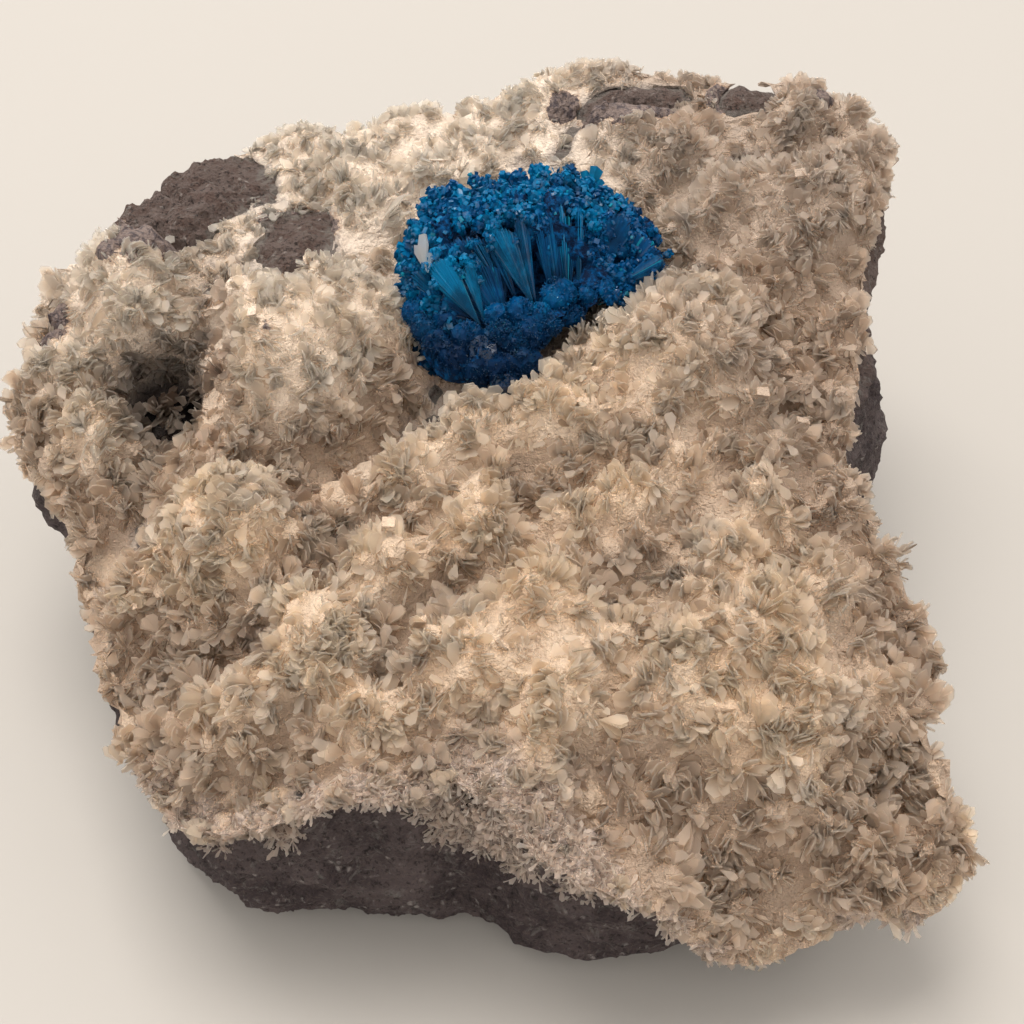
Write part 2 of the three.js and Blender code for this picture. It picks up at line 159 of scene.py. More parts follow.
class Finish:
    # one material, its Principled shader and its own nodes
    def __init__(self, name, **values):
        self.material = bpy.data.materials.new(name)
        self.material.use_nodes = True
        self.tree = self.material.node_tree
        self.shader = self.tree.nodes["Principled BSDF"]
        for socket, value in values.items():
            self.join(self.shader.inputs[socket.replace("_", " ")], value)

    def node(self, kind, settings, sockets, out=0):
        made = self.tree.nodes.new(kind)
        for name, value in settings.items():
            setattr(made, name, value)
        for name, value in sockets.items():
            self.join(made.inputs[name], value)
        return Wire(self, made.outputs[out])

    def join(self, socket, value):
        if isinstance(value, Wire):
            self.tree.links.new(value.socket, socket)
        elif isinstance(value, tuple) and len(value) == 3 and socket.type == "RGBA":
            socket.default_value = (*value, 1)
        else:
            socket.default_value = value

    def feed(self, socket, value):
        self.join(self.shader.inputs[socket], value)

    def place(self, scale=(1000, 1000, 1000)):
        # where the surface is in the specimen, in millimetres unless scaled otherwise
        here = self.node("ShaderNodeTexCoord", {}, {}, "Object")
        return self.node("ShaderNodeVectorMath", {"operation": "MULTIPLY"}, {0: here, 1: scale})

    def axis(self, place, letter):
        return self.node("ShaderNodeSeparateXYZ", {}, {"Vector": place}, letter)

    def noise(self, place, scale, detail=3.0, roughness=0.55, warp=0.0):
        sockets = {"Vector": place, "Scale": scale, "Detail": detail,
                   "Roughness": roughness, "Distortion": warp}
        return self.node("ShaderNodeTexNoise", {}, sockets, "Fac")

    def cells(self, place, scale):
        sockets = {"Vector": place, "Scale": scale}
        return self.node("ShaderNodeTexVoronoi", {"feature": "F1"}, sockets, "Distance")

    def stored(self, name, kind="Fac"):
        return self.node("ShaderNodeAttribute", {"attribute_name": name}, {}, kind)

    def mix(self, share, low, high):
        settings = {"data_type": "RGBA"}
        return self.node("ShaderNodeMix", settings, {0: share, 6: low, 7: high}, 2)

    def bump(self, height, strength, distance):
        sockets = {"Height": height, "Strength": strength, "Distance": distance * mm}
        return self.node("ShaderNodeBump", {}, sockets)


def chance(seed):
    return np.random.default_rng(seed)


def unit(vectors):
    return vectors / np.maximum(np.linalg.norm(vectors, axis=-1, keepdims=True), 1e-12)


def cellValue(cells, seed):
    # a repeatable number from 0 to 1 for each whole-numbered cell
    x, y, z = (cells[..., i].astype(np.int64) & 0xFFFFF for i in range(3))
    n = (x * 73856093) ^ (y * 19349663) ^ (z * 83492791) ^ (seed * 2654435761 & 0xFFFFFFF)
    n = ((n & 0xFFFFFFFF) ^ (n >> 13)) * 1274126177 & 0xFFFFFFFF
    n = (n ^ (n >> 16)) * 668265263 & 0xFFFFFFFF
    return ((n >> 8) & 0xFFFF) / 65535


def softNoise(points, size, seed):
    # smooth noise from -1 to 1 with features of the given size
    place = points / size
    low = np.floor(place)
    part = place - low
    part = part * part * (3 - 2 * part)
    total = np.zeros(len(points))
    for corner in product((0, 1), repeat=3):
        share = np.prod(np.where(np.array(corner) == 1, part, 1 - part), axis=1)
        total += share * cellValue(low + corner, seed)
    return 2 * total - 1


def layeredNoise(points, size, seed, layers=3):
    return sum(softNoise(points, size / 2 ** i, seed + i) / 2 ** i for i in range(layers))


def scallops(points, size, seed, jag=0.5):
    # 0 at the middle of each dent, rising to sharp ridges between the dents
    place = points / size
    low = np.floor(place)
    best = np.full(len(points), 9.0)
    for step in product((-1, 0, 1), repeat=3):
        cell = low + step
        middle = cell + np.stack([cellValue(cell, seed + i) for i in range(3)], axis=1)
        far = np.sum((place - middle) ** 2, axis=1) + jag * cellValue(cell, seed + 7)
        best = np.minimum(best, far)
    return best


def squareTo(along, random):
    # any direction square to each of the given ones
    return unit(np.cross(along, unit(random.normal(size=along.shape))))


def leaning(along, tilt, random):
    # directions tilted from the given ones, each to a side of its own
    sideways = squareTo(along, random)
    return unit(along * np.cos(tilt)[:, None] + sideways * np.sin(tilt)[:, None])


def meshFrom(name, corners, faceSets, finish, faceValues=(), pointValues=()):
    # faceSets: arrays of faces with the same number of corners; corners in millimetres
    mesh = bpy.data.meshes.new(name)
    corners = np.asarray(corners, dtype=np.float32).reshape(-1, 3) * mm
    sizes = np.concatenate([np.full(len(faces), faces.shape[1]) for faces in faceSets])
    loops = np.concatenate([faces.ravel() for faces in faceSets])
    mesh.vertices.add(len(corners))
    mesh.vertices.foreach_set("co", corners.ravel())
    mesh.loops.add(len(loops))
    mesh.loops.foreach_set("vertex_index", loops.astype(np.int32))
    mesh.polygons.add(len(sizes))
    starts = np.concatenate([[0], np.cumsum(sizes)[:-1]])
    mesh.polygons.foreach_set("loop_start", starts.astype(np.int32))
    mesh.update(calc_edges=True)
    mesh.shade_flat()
    for label, value in faceValues:
        store(mesh, label, value, "FACE")
    for label, value in pointValues:
        store(mesh, label, value, "POINT")
    mesh.materials.append(finish.material)
    return linked(name, mesh)


def linked(name, mesh):
    piece = bpy.data.objects.new(name, mesh)
    bpy.context.scene.collection.objects.link(piece)
    return piece


def store(mesh, label, value, domain):
    # one number, or one colour, for each point or face
    value = np.asarray(value, dtype=np.float32)
    if value.ndim == 1:
        mesh.attributes.new(label, "FLOAT", domain).data.foreach_set("value", value)
    else:
        filled = np.column_stack([value, np.ones(len(value), dtype=np.float32)])
        mesh.attributes.new(label, "FLOAT_COLOR", domain).data.foreach_set("color", filled.ravel())


def pointsOf(mesh, kind="co"):
    # places in millimetres, or "normal" for the directions out of the surface
    values = np.empty(len(mesh.vertices) * 3, dtype=np.float32)
    mesh.vertices.foreach_get(kind, values)
    return values.reshape(-1, 3).astype(float) / (mm if kind == "co" else 1)


def movePoints(mesh, places):
    mesh.vertices.foreach_set("co", (places * mm).astype(np.float32).ravel())
    mesh.update()


def remeshed(node, name, voxel, finish):
    # a fine, even copy of a solid
    raw = linked(name + "Raw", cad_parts[node].data.copy())
    grid = raw.modifiers.new("grid", "REMESH")
    grid.mode = "VOXEL"
    grid.voxel_size = voxel * mm
    settled = raw.evaluated_get(bpy.context.evaluated_depsgraph_get())
    mesh = bpy.data.meshes.new_from_object(settled)
    mesh.name = name
    mesh.materials.clear()
    mesh.materials.append(finish.material)
    bpy.data.objects.remove(raw)
    return linked(name, mesh)


def searchTree(mesh):
    faces = [tuple(face.vertices) for face in mesh.polygons]
    return BVHTree.FromPolygons([Vector(place) for place in pointsOf(mesh)], faces)


def distanceTo(tree, places):
    return np.array([tree.find_nearest(Vector(place))[3] for place in places])


def triangleCount(piece):
    return sum(len(face.vertices) - 2 for face in piece.data.polygons)


# how far the upper edges lie within the solid's: at the left and the right along y, and
# how much lower the back one lies, along x; and where each of these moves sets in and is whole
outline = {
    "fade": {"left": (19, 31), "right": (18, 30), "back": (16, 27), "height": (8, 20)},
    "left": ((-26, 1.3), (-20, 0.9), (-8, 1.1), (-1, 0.4), (8, 1.3), (14, 0.7)),
    "right": (
        (-31, 0.4), (-24, 1.3), (-14, 1.2), (-9, 1.7), (-4, 1.0),
        (2, -0.4), (8, -0.5), (14, 0.2), (26, 0.7),
    ),
    "back": (
        (-22, 0.6), (-17, 2.6), (-7, 2.3), (-1, 1.8), (5, 1.4),
        (9, 0.7), (12, 0.3), (15, 0.8), (27, 0.9), (31, 1.8),
    ),
}


def smoothStep(values, low, high):
    # 0 below low, 1 above high
    share = np.clip((values - low) / (high - low), 0, 1)
    return share * share * (3 - 2 * share)


def drawnIn(places):
    # moves the upper edges in and down to their outline
    x, y, z = places.T
    left, right, back = (np.interp(along, *zip(*outline[side]))
                         for side, along in (("left", y), ("right", y), ("back", x)))
    fade = outline["fade"]
    moved = places.copy()
    moved[:, 0] += left * smoothStep(-x, *fade["left"]) - right * smoothStep(x, *fade["right"])
    moved[:, 2] -= back * smoothStep(y, *fade["back"]) * smoothStep(z, *fade["height"])
    return moved


basalt = {
    "voxel": 0.90,
    "dents": ((7.0, 0.75, 0.9), (2.8, 0.60, 0.7), (1.2, 0.36, 0.6)),  # size, depth, jag
    "dentMiddle": 0.55,  # what of a dent's depth leaves the surface where it was
    "grain": ((0.55, 0.14), (0.26, 0.07)),  # size, height
    "flow": (1.0, 1.0, 2.4),  # squeezes the dents along the flow of the rock
    # where the rock shows best and gets finer faces: x, y, z, radius
    "close": ((-8, -27, 9, 11), (6, -31, 8, 10), (16, -32, 6, 8), (-23, 21, 24, 8),
              (-13, 17, 25, 4), (11, 28, 28, 6)),
    "seenAbove": 0.6,  # faces higher than this get finer
    "seenGap": 0.55,  # and only as far as this from the crust
    "top": (20, 24),  # heights where the brown top begins and is whole
    "topRise": 0.4,
    # ledges that run across the bare patch at the back left
    "ledges": {"centre": (-24, 19, 25), "radius": 11, "way": (0.60, 0.55, 0.2), "step": 1.9, "height": 0.6},
    # how high the undercut at the foot is, and its share of the width at the left and right
    "footHeight": 2.8,
    "footLeft": 0.02,
    "footRight": 0.055,
    "footTurn": (-6, 3),  # where the share changes from left to right
    # where white crust is smeared over the rock: x, y, z, radius
    "smeared": (
        (-0.8, -27.5, 16.3, 1.6), (0.4, -27.6, 13.6, 1.8), (2.2, -28.4, 14.8, 2.2), (3.4, -29.6, 13.8, 1.8),
        (-10.5, -28.4, 14.2, 1.2), (-14.5, -27.8, 12.0, 1.0), (7.0, -31.5, 12.6, 1.2),
    ),
    "plum": (0.060, 0.042, 0.044),
    "ash": (0.125, 0.094, 0.092),
    "brownAsh": (0.190, 0.138, 0.118),
    "rust": (0.100, 0.050, 0.036),
    "fleck": (0.52, 0.46, 0.42),
    "selvage": (0.30, 0.28, 0.25),
    # dark: of the pores, and painted shade in the pit
    "dark": (0.016, 0.011, 0.011),
}
# the pit at the left, dark with painted shade
pit = {
    "x": -21.4,
    "y": 3.0,
    "radius": 2.4,
    "rock": 2.8,  # how much deeper it is than in the solids
    "crust": 2.6,
    "open": 0.9,  # no tip of a blade comes closer to its middle
    "rim": 25.5,  # blades get painted shade below this height
    "edge": (0.9, 2.3),  # where its painted shade ends, in squares of the radius
    # wall: near-black painted shade for the crust in the pit
    "wall": (0.030, 0.020, 0.016),
}
mouthLowest = 8  # the pit and the seams lie higher than this


def inPit(finish, here):
    # 1 inside the pit, 0 outside
    x, y = finish.axis(here, "X") - pit["x"], finish.axis(here, "Y") - pit["y"]
    near, far = (share * pit["radius"] ** 2 for share in pit["edge"])
    return 1 - (x * x + y * y).between(near, far)


def rockColour(finish, here):
    # plum grey, browner on top, with dark pores and pale grains
    height = finish.axis(here, "Z")
    grain = finish.noise(here, 4.5, 5, 0.75)
    colour = finish.mix(finish.noise(here, 0.30, 4, 0.6).between(0.38, 0.62), basalt["plum"], basalt["ash"])
    onTop = height.between(*basalt["top"])
    colour = finish.mix(onTop * 0.8, colour, basalt["brownAsh"])
    rusty = finish.noise(here, 0.8, 4, 0.6).between(0.46, 0.60)
    colour = finish.mix(onTop * rusty * 0.55, colour, basalt["rust"])
    colour = finish.mix(grain.between(0.45, 0.70) * 0.5, colour, basalt["brownAsh"])
    pores = finish.noise(here, 2.6, 4, 0.7).between(0.53, 0.64)
    colour = finish.mix(pores * 0.75, colour, basalt["dark"])
    wisps = finish.noise(here, 0.8, 7, 0.72, 1.4)
    colour = finish.mix(wisps.between(0.53, 0.68) * 0.45, colour, basalt["selvage"])
    spots = 1 - finish.cells(here, 1.3).between(0.10, 0.34)
    return finish.mix(spots * wisps.between(0.47, 0.60) * 0.6, colour, basalt["fleck"])


def rockRelief(finish, here):
    # grains and pores, as one height for the bump
    return (finish.noise(here, 4.5, 5, 0.75) * 0.9 + finish.cells(here, 4.2) * 0.5
            + finish.noise(here, 2.0, 5, 0.65) * 1.1)


def basaltFinish():
    rock = Finish("plumBasalt", IOR=1.5, Specular_IOR_Level=0.3)
    here = rock.place()
    colour = rockColour(rock, here)
    streaks = rock.noise(rock.place((900, 900, 450)), 1.1, 5, 0.7, 0.4)
    # a pale film beside the crust, and white smears
    film = (rock.stored("contact") * 0.8 + streaks * 1.2 - 0.75).between(0.40, 0.62)
    colour = rock.mix(film * 0.5, colour, basalt["selvage"])
    smear = (rock.stored("smeared") + streaks * 1.5 - 1.0).between(0.35, 0.65)
    colour = rock.mix(smear * 0.75, colour, bed["brokenWhite"])
    # painted shade: the rock in the pit goes near black
    colour = rock.mix(inPit(rock, here), colour, basalt["dark"])
    rock.feed("Base Color", colour)
    rock.feed("Roughness", 0.72 + streaks * 0.25)
    rock.feed("Normal", rock.bump(rockRelief(rock, here), 1.0, 0.5))
    return rock


def finerWhere(mesh, wanted):
    # halves the edges of the wanted faces
    work = bmesh.new()
    work.from_mesh(mesh)
    edges = {edge for face in work.faces if wanted(face.calc_center_median() / mm) for edge in face.edges}
    bmesh.ops.subdivide_edges(work, edges=list(edges), cuts=1, use_grid_fill=True)
    bmesh.ops.triangulate(work, faces=[face for face in work.faces if len(face.verts) > 4])
    work.to_mesh(mesh)
    work.free()


def pitShare(places):
    # 1 at the middle of the pit, fading to 0 past its radius
    far = np.hypot(places[:, 0] - pit["x"], places[:, 1] - pit["y"]) / pit["radius"]
    return np.exp(-far ** 2) * (places[:, 2] > mouthLowest)


def ledges(places):
    # low steps across the bare patch at the back left
    slate = basalt["ledges"]
    near = 1 - np.linalg.norm(places - np.array(slate["centre"]), axis=1) / slate["radius"]
    step = (places @ unit(np.array(slate["way"])) / slate["step"] + 0.9 * softNoise(places, 2.5, 41)) % 1
    return slate["height"] * np.clip(near * 3, 0, 1) * (np.minimum(step, (1 - step) * 3) - 0.4)


def nearSpots(places, spots):
    # 1 at the given spots, fading to 0 a little past their radius
    most = np.zeros(len(places))
    for x, y, z, radius in spots:
        far = np.linalg.norm(places - np.array((x, y, z)), axis=1) / radius
        most = np.maximum(most, np.clip(2.2 - 1.6 * far, 0, 1))
    return most


def makeBasalt(crustCad):
    piece = remeshed("basalt_matrix", "basaltRock", basalt["voxel"], basaltFinish())
    mesh = piece.data
    close = [(Vector(spot[:3]), spot[3]) for spot in basalt["close"]]

    def exposed(middle):
        far = crustCad.find_nearest(middle)[3]
        return middle.z > basalt["seenAbove"] and far > basalt["seenGap"]

    def wellSeen(middle):
        return exposed(middle) and any((middle - spot).length < radius for spot, radius in close)

    finerWhere(mesh, exposed)
    finerWhere(mesh, wellSeen)
    places, out = pointsOf(mesh), pointsOf(mesh, "normal")
    push = np.zeros(len(places))
    for i, (size, depth, jag) in enumerate(basalt["dents"]):
        dents = scallops(places * np.array(basalt["flow"]), size, 11 + i, jag)
        push += depth * (dents - basalt["dentMiddle"])
    for i, (size, height) in enumerate(basalt["grain"]):
        push += height * layeredNoise(places, size, 31 + 5 * i, 2)
    onTop = smoothStep(places[:, 2], *basalt["top"]) * np.clip(out[:, 2], 0, 1)
    push += ledges(places) + basalt["topRise"] * onTop
    smeared = nearSpots(places, basalt["smeared"])
    places = drawnIn(places + out * push[:, None])
    places[:, 2] -= pit["rock"] * pitShare(places)
    foot = 1 - smoothStep(places[:, 2], 0, basalt["footHeight"])
    left, right = basalt["footLeft"], basalt["footRight"]
    side = left + (right - left) * smoothStep(places[:, 0], *basalt["footTurn"])
    places[:, :2] *= 1 - (foot * side)[:, None]
    places[:, 2] = np.maximum(places[:, 2], 0.0)
    movePoints(mesh, places)
    mesh.shade_flat()
    store(mesh, "smeared", smeared, "POINT")
    print("basalt:", triangleCount(piece), "triangles")
    return piece


bed = {
    "voxel": 0.62,
    "sunk": 0.95,  # the bed lies this far under the tips of the blades
    "skin": 0.35,  # but stays this far over the rock
    "mostRise": (0.1, 1.0),  # of the mounds, at the back edge and elsewhere
    "backEdge": 22,  # the back edge begins at this y
    "ragged": 1.5,  # how deep the crust is torn where it is broken off
    # how much bolder the mounds stand: width of the ground that they are set against, share, most
    "relief": ((2.6, 0.70, 1.6), (6.0, 0.50, 2.4)),
    # where the crust is broken off along the front: x, y, z, radius
    "broken": (
        (-19, -25, 13.5, 1.5), (-16, -27.5, 13.5, 1.6), (-12.5, -28.5, 15, 1.6), (-9, -28.5, 16.5, 1.7),
        (-5, -28.5, 17.5, 1.8), (-1.5, -28.5, 17.5, 2.2), (1, -27, 17.5, 2.6), (3.5, -29.5, 16.5, 3.0),
        (6, -31, 15, 2.6), (9, -32.5, 13, 1.8), (12, -33, 11, 1.5), (14.5, -33, 8.5, 1.4),
        (17.5, -33, 6.5, 1.2), (24, -31, 9, 1.2), (27.5, -31.5, 8, 1.2),
    ),
    # the deep seams between the mounds: x, y, radius
    "seams": (
        (-18.0, 8.5, 1.3), (-17.8, 6.0, 1.4), (-17.6, 3.7, 1.5), (-17.5, 1.6, 1.5), (-17.5, -0.6, 1.6),
        (-2.3, -0.3, 1.3), (-4.4, -2.0, 1.5), (-6.6, -3.8, 1.6), (-8.6, -5.6, 1.6), (-10.6, -7.6, 1.5),
        (-13.0, -18.6, 1.5), (8.3, -29.2, 1.3), (8.0, -26.6, 1.2), (-21.4, 3.0, 1.6),
    ),
    "seamDepth": 1.4,
    # where the rock lies bare: x, y, z, radius
    "bare": (
        (-26.2, 11.2, 27.5, 1.5), (-24.6, 12.8, 27.6, 1.9), (-22.8, 13.2, 27.0, 1.8),
        (-24.4, 10.6, 27.5, 1.2), (-14.6, 18.2, 25.9, 1.5), (-12.9, 18.8, 26.0, 1.7),
        (-11.6, 17.4, 25.9, 1.6), (-13.5, 15.5, 25.2, 1.6), (-13.2, 2.1, 27.8, 0.9),
        (-13.9, 1.6, 27.3, 0.7), (-31.3, 8.6, 24.3, 1.1), (-31.1, 6.6, 23.9, 1.1),
        (7.6, 27.6, 31.0, 1.3), (9.6, 26.4, 31.0, 1.6), (12.2, 25.6, 31.3, 1.5),
        (14.6, 26.4, 31.3, 1.5), (19.8, 28.1, 31.0, 1.5), (22.3, 28.3, 31.0, 1.5),
        (28.0, 25.9, 33.0, 0.9), (-0.4, 27.2, 29.0, 0.7),
    ),
    "brokenWhite": (0.50, 0.405, 0.345),
    "peach": (0.68, 0.50, 0.355),
    "cream": (0.70, 0.54, 0.40),
    "white": (0.87, 0.74, 0.62),
    # shade: painted shade in the hollows, and the darker side of the mottling
    "shade": (0.37, 0.27, 0.20),
    # grey: painted shade down the right flank
    "grey": (0.34, 0.25, 0.19),
    "stain": (0.36, 0.19, 0.09),
    "selvage": (0.24, 0.205, 0.185),
}
# clumps: balls of blades that spread from one spot
clumps = {
    "seed": 5,
    "tries": 14000,
    "spacing": (1.2, 2.5),
    "radius": (1.3, 2.4),
    "wallShare": 0.8,  # share of the radius that clumps on the walls have
    "brokenRadius": 0.95,  # the most, where the crust is broken off
    "standOut": (0.05, 0.6),  # how far the tips may stand out of the bed's old surface
    "hollowOut": 1.6,  # and how much further in the hollows
    # how far the spot lies under the bed's old surface, in shares of the radius, in thin and thick crust
    "depth": (0.35, 0.9),
    "core": 0.52,  # share of the radius that is solid
    "mostSwell": 1.3,
    "sheaves": 6,
    "blades": 5,  # in each sheaf
    "flakes": 14,  # small ones in each clump
    "loose": 2200,
    "shreds": (3600, 1900),  # splinters where the crust is broken off, and on the rock below it
    "shredLength": (0.3, 1.1),
    "shredWidth": (0.12, 0.38),
    "shredThickness": (0.04, 0.08),
    "looseLength": (0.8, 1.5),
    "looseWidth": (0.5, 0.9),
    "looseThickness": (0.09, 0.17),
    "bladeWidth": (0.35, 1.3),
    "bladeThickness": (0.05, 0.11),
    "flakeWidth": (0.25, 0.55),
    "flakeThickness": (0.05, 0.09),
    "peach": (1.0, 0.903, 0.775),
    "cream": (1.0, 0.919, 0.822),
    "white": (1.0, 0.955, 0.895),
    # grey: painted shade down the right flank
    "grey": (0.885, 0.79, 0.705),
    # painted shade for blades in the hollows
    "hollowShade": (0.88, 0.77, 0.665),
    "clear": (0.97, 0.93, 0.86),
    "chip": (0.985, 0.965, 0.94),
    "brown": (0.30, 0.18, 0.09),
    "brownShare": 0.003,  # how many blades are stained brown
    "shadow": (0.74, 0.62, 0.53),
    # pit: painted shade for blades deep in the pit
    "pit": (0.20, 0.13, 0.09),
    "splinter": ((0.98, 0.90, 0.82), (0.84, 0.73, 0.65)),
}
# no clumps grow here, in the blue crystals and in the deep pit: x, y, radius
clumpFree = ((3.0, 9.5, 6.0), (1.4, 2.6, 4.1), (11.5, 12.6, 2.8), (-21.4, 3.0, 0.9),
             (-14.2, 10.6, 0.9), (4.6, 2.4, 2.8))


def blend(low, high, share):
    # colours mixed by a share for each of them
    return low + (np.array(high) - low) * np.reshape(share, (-1, 1))


def regionTints(places, colours):
    # peach at the front, whiter at the back left, and greyer down the right flank as painted shade
    x, y = places[:, 0], places[:, 1]
    drift = 4.5 * layeredNoise(places, 6.0, 61)
    creamy = smoothStep(layeredNoise(places, 3.3, 65), -0.6, 0.6)
    pale = smoothStep(y + drift - x * 0.12, -8, 17)
    shadedFlank = smoothStep(x + drift + y * 0.25, 9, 26) * smoothStep(y + drift, -26, -8)
    tint = blend(np.tile(colours["peach"], (len(places), 1)), colours["cream"], creamy)
    return blend(blend(tint, colours["white"], 0.85 * pale), colours["grey"], 0.8 * shadedFlank)


def bedFinish():
    crust = Finish("stilbiteBed", IOR=1.5)
    here = crust.place()
    mottled = crust.noise(here, 1.6, 3, 0.65)
    colour = crust.mix(mottled.between(0.35, 0.65) * 0.4, crust.stored("tint", "Color"), bed["shade"])
    fibres = crust.noise(crust.place((2600, 2600, 500)), 1.0, 2, 0.65)  # drawn out upwards
    colour = crust.mix(crust.stored("broken").between(0.2, 0.6) * fibres.between(0.45, 0.65) * 0.5,
                       colour, basalt["ash"])
    film = (crust.stored("contact") + mottled * 0.8 - 0.5).between(0.4, 0.8)
    colour = crust.mix(film * 0.6, colour, bed["selvage"])
    # painted shade: the crust in the pit goes near black
    colour = crust.mix(inPit(crust, here), colour, pit["wall"])
    edge = crust.stored("bare") + mottled
    colour = crust.mix(edge.between(0.78, 0.92) * 0.4, colour, bed["stain"])
    rocky = crust.mix(fibres.between(0.35, 0.6), basalt["plum"], basalt["brownAsh"])
    colour = crust.mix(edge.between(0.95, 1.03), colour, rocky)
    crust.feed("Base Color", colour)
    crust.feed("Roughness", 0.5 + mottled * 0.35)
    crust.feed("Normal", crust.bump(crust.noise(here, 3.0, 2, 0.75), 0.9, 0.45))
    return crust


def bladeFinish():
    crystal = Finish("stilbiteBlade", IOR=1.12, Transmission_Weight=0.85)
    crystal.feed("Base Color", crystal.stored("tint", "Color"))
    crystal.feed("Roughness", 0.36 + crystal.stored("own") * 0.16)
    crystal.shader.distribution = "GGX"
    return crystal


def blurred(heights, width):
    # a grid of heights, smoothed over the given number of cells
    reach = int(3 * width)
    weights = np.exp(-0.5 * (np.arange(-reach, reach + 1) / width) ** 2)
    weights /= weights.sum()
    for axis in (0, 1):
        padded = np.apply_along_axis(lambda row: np.pad(row, reach, mode="edge"), axis, heights)
        heights = np.apply_along_axis(lambda row: np.convolve(row, weights, "valid"), axis, padded)
    return heights


def moundRelief(places, out, width):
    # how far each point of the crust stands over the ground around it
    cell, half = 0.8, 36  # width of a cell, and half the width of the grid
    count = int(2 * half / cell) + 1
    up = out[:, 2] > 0.2
    column = np.clip(((places[:, :2] + half) / cell).round().astype(int), 0, count - 1)
    heights = np.full((count, count), -1.0)
    np.maximum.at(heights, (column[up, 0], column[up, 1]), places[up, 2])
    filled = (heights > 0).astype(float)
    heights = np.maximum(heights, 0)
    smooth = blurred(heights, width / cell) / np.maximum(blurred(filled, width / cell), 0.05)
    return places[:, 2] - smooth[column[:, 0], column[:, 1]]


def seamShare(places):
    # 1 in the seams, fading to 0 a little past their radius
    flat = places * np.array((1, 1, 0))
    spots = [(x, y, 0, radius) for x, y, radius in bed["seams"]]
    return nearSpots(flat, spots) * (places[:, 2] > mouthLowest)


def makeBed():
    piece = remeshed("stilbite_crust", "stilbiteBed", bed["voxel"], bedFinish())
    mesh = piece.data
    places, out = pointsOf(mesh), pointsOf(mesh, "normal")
    faceUp = np.clip((out[:, 2] + 0.35) / 0.3, 0, 1)
    stand = np.zeros(len(places))
    rise = np.zeros(len(places))
    for width, share, most in bed["relief"]:
        part = np.clip(moundRelief(places, out, width), -most, most)
        stand += part
        rise += share * part * faceUp * np.clip(out[:, 2], 0, 1)
    places[:, 2] += np.minimum(rise, np.where(places[:, 1] > bed["backEdge"], *bed["mostRise"]))
    broken, bare = (nearSpots(places, bed[kind]) for kind in ("broken", "bare"))
    ragged = np.clip(softNoise(places, 0.9, 55) + 0.5 * softNoise(places, 0.4, 56) - 0.1, 0, 1)
    rough = ledges(places) + 0.3 * layeredNoise(places, 1.3, 57)
    push = rough * bare - bed["ragged"] * ragged * broken - bed["seamDepth"] * seamShare(places)
    places = drawnIn(places + out * push[:, None])
    movePoints(mesh, places)
    for label, values in (("broken", broken), ("bare", bare)):
        store(mesh, label, values, "POINT")
    print("stilbite bed:", triangleCount(piece), "triangles")
    return piece, stand, faceUp, broken, bare


def spotsOn(mesh, count, random, share=None):
    # evenly strewn places on the outside of a piece, with the direction out of it
    mesh.calc_loop_triangles()
    corners = np.empty(len(mesh.loop_triangles) * 3, dtype=np.int32)
    mesh.loop_triangles.foreach_get("vertices", corners)
    corners = corners.reshape(-1, 3)
    places, out = pointsOf(mesh), pointsOf(mesh, "normal")
    a, b, c = (places[corners[:, i]] for i in range(3))
    face = np.cross(b - a, c - a)
    area = np.linalg.norm(face, axis=1)
    area[unit(face)[:, 2] < -0.3] = 0
    if share is not None:
        area *= share[corners].mean(axis=1)
    chosen = random.choice(len(area), size=count, p=area / area.sum())
    u, v = random.random(count), random.random(count)
    u, v = np.where(u + v > 1, 1 - u, u), np.where(u + v > 1, 1 - v, v)
    spot = a[chosen] + (b - a)[chosen] * u[:, None] + (c - a)[chosen] * v[:, None]
    return spot, unit(out[corners[chosen]].sum(axis=1))


def openSpots(mesh, count, random, rockTree, bare):
    # leaves out what lies against the rock, is bare or is under the blue crystals
    spot, way = spotsOn(mesh, count, random, bare < 0.4)
    free = distanceTo(rockTree, spot + way * 0.5) > 0.4
    for x, y, radius in clumpFree:
        free &= np.hypot(spot[:, 0] - x, spot[:, 1] - y) > radius
    return spot[free], way[free]


def placeClumps(mesh, rockTree, hollowAt, bare, random):
    # spots that keep their distance from each other
    spot, way = openSpots(mesh, clumps["tries"], random, rockTree, bare)
    spacing = random.uniform(*clumps["spacing"], len(spot))
    kept = np.empty(0, dtype=int)
    for i in range(len(spot)):
        apart = np.sum((spot[kept] - spot[i]) ** 2, axis=1) / spacing[kept] ** 2
        if np.all(apart > 1):
            kept = np.append(kept, i)
    spot, way, spacing = spot[kept], way[kept], spacing[kept]
    low, high = clumps["spacing"]
    radius = np.interp(spacing, (low, high), clumps["radius"])
    radius = radius * np.where(way[:, 2] < 0.5, clumps["wallShare"], 1.0)
    radius = np.minimum(radius, 0.6 + 0.65 * distanceTo(rockTree, spot + way * 0.3))
    broken = nearSpots(spot, bed["broken"]) > 0.5
    radius[broken] = np.minimum(radius[broken], clumps["brokenRadius"])
    room = np.where(broken, 0, distanceTo(rockTree, spot) - bed["skin"]) / bed["sunk"]
    depth = np.interp(room, (0, 1), clumps["depth"])
    depth = depth * random.uniform(0.85, 1.1, len(spot)) * radius
    inHollow = hollowAt(spot)
    depth *= 1 - 0.5 * inHollow
    return spot - way * depth[:, None], way, radius, inHollow


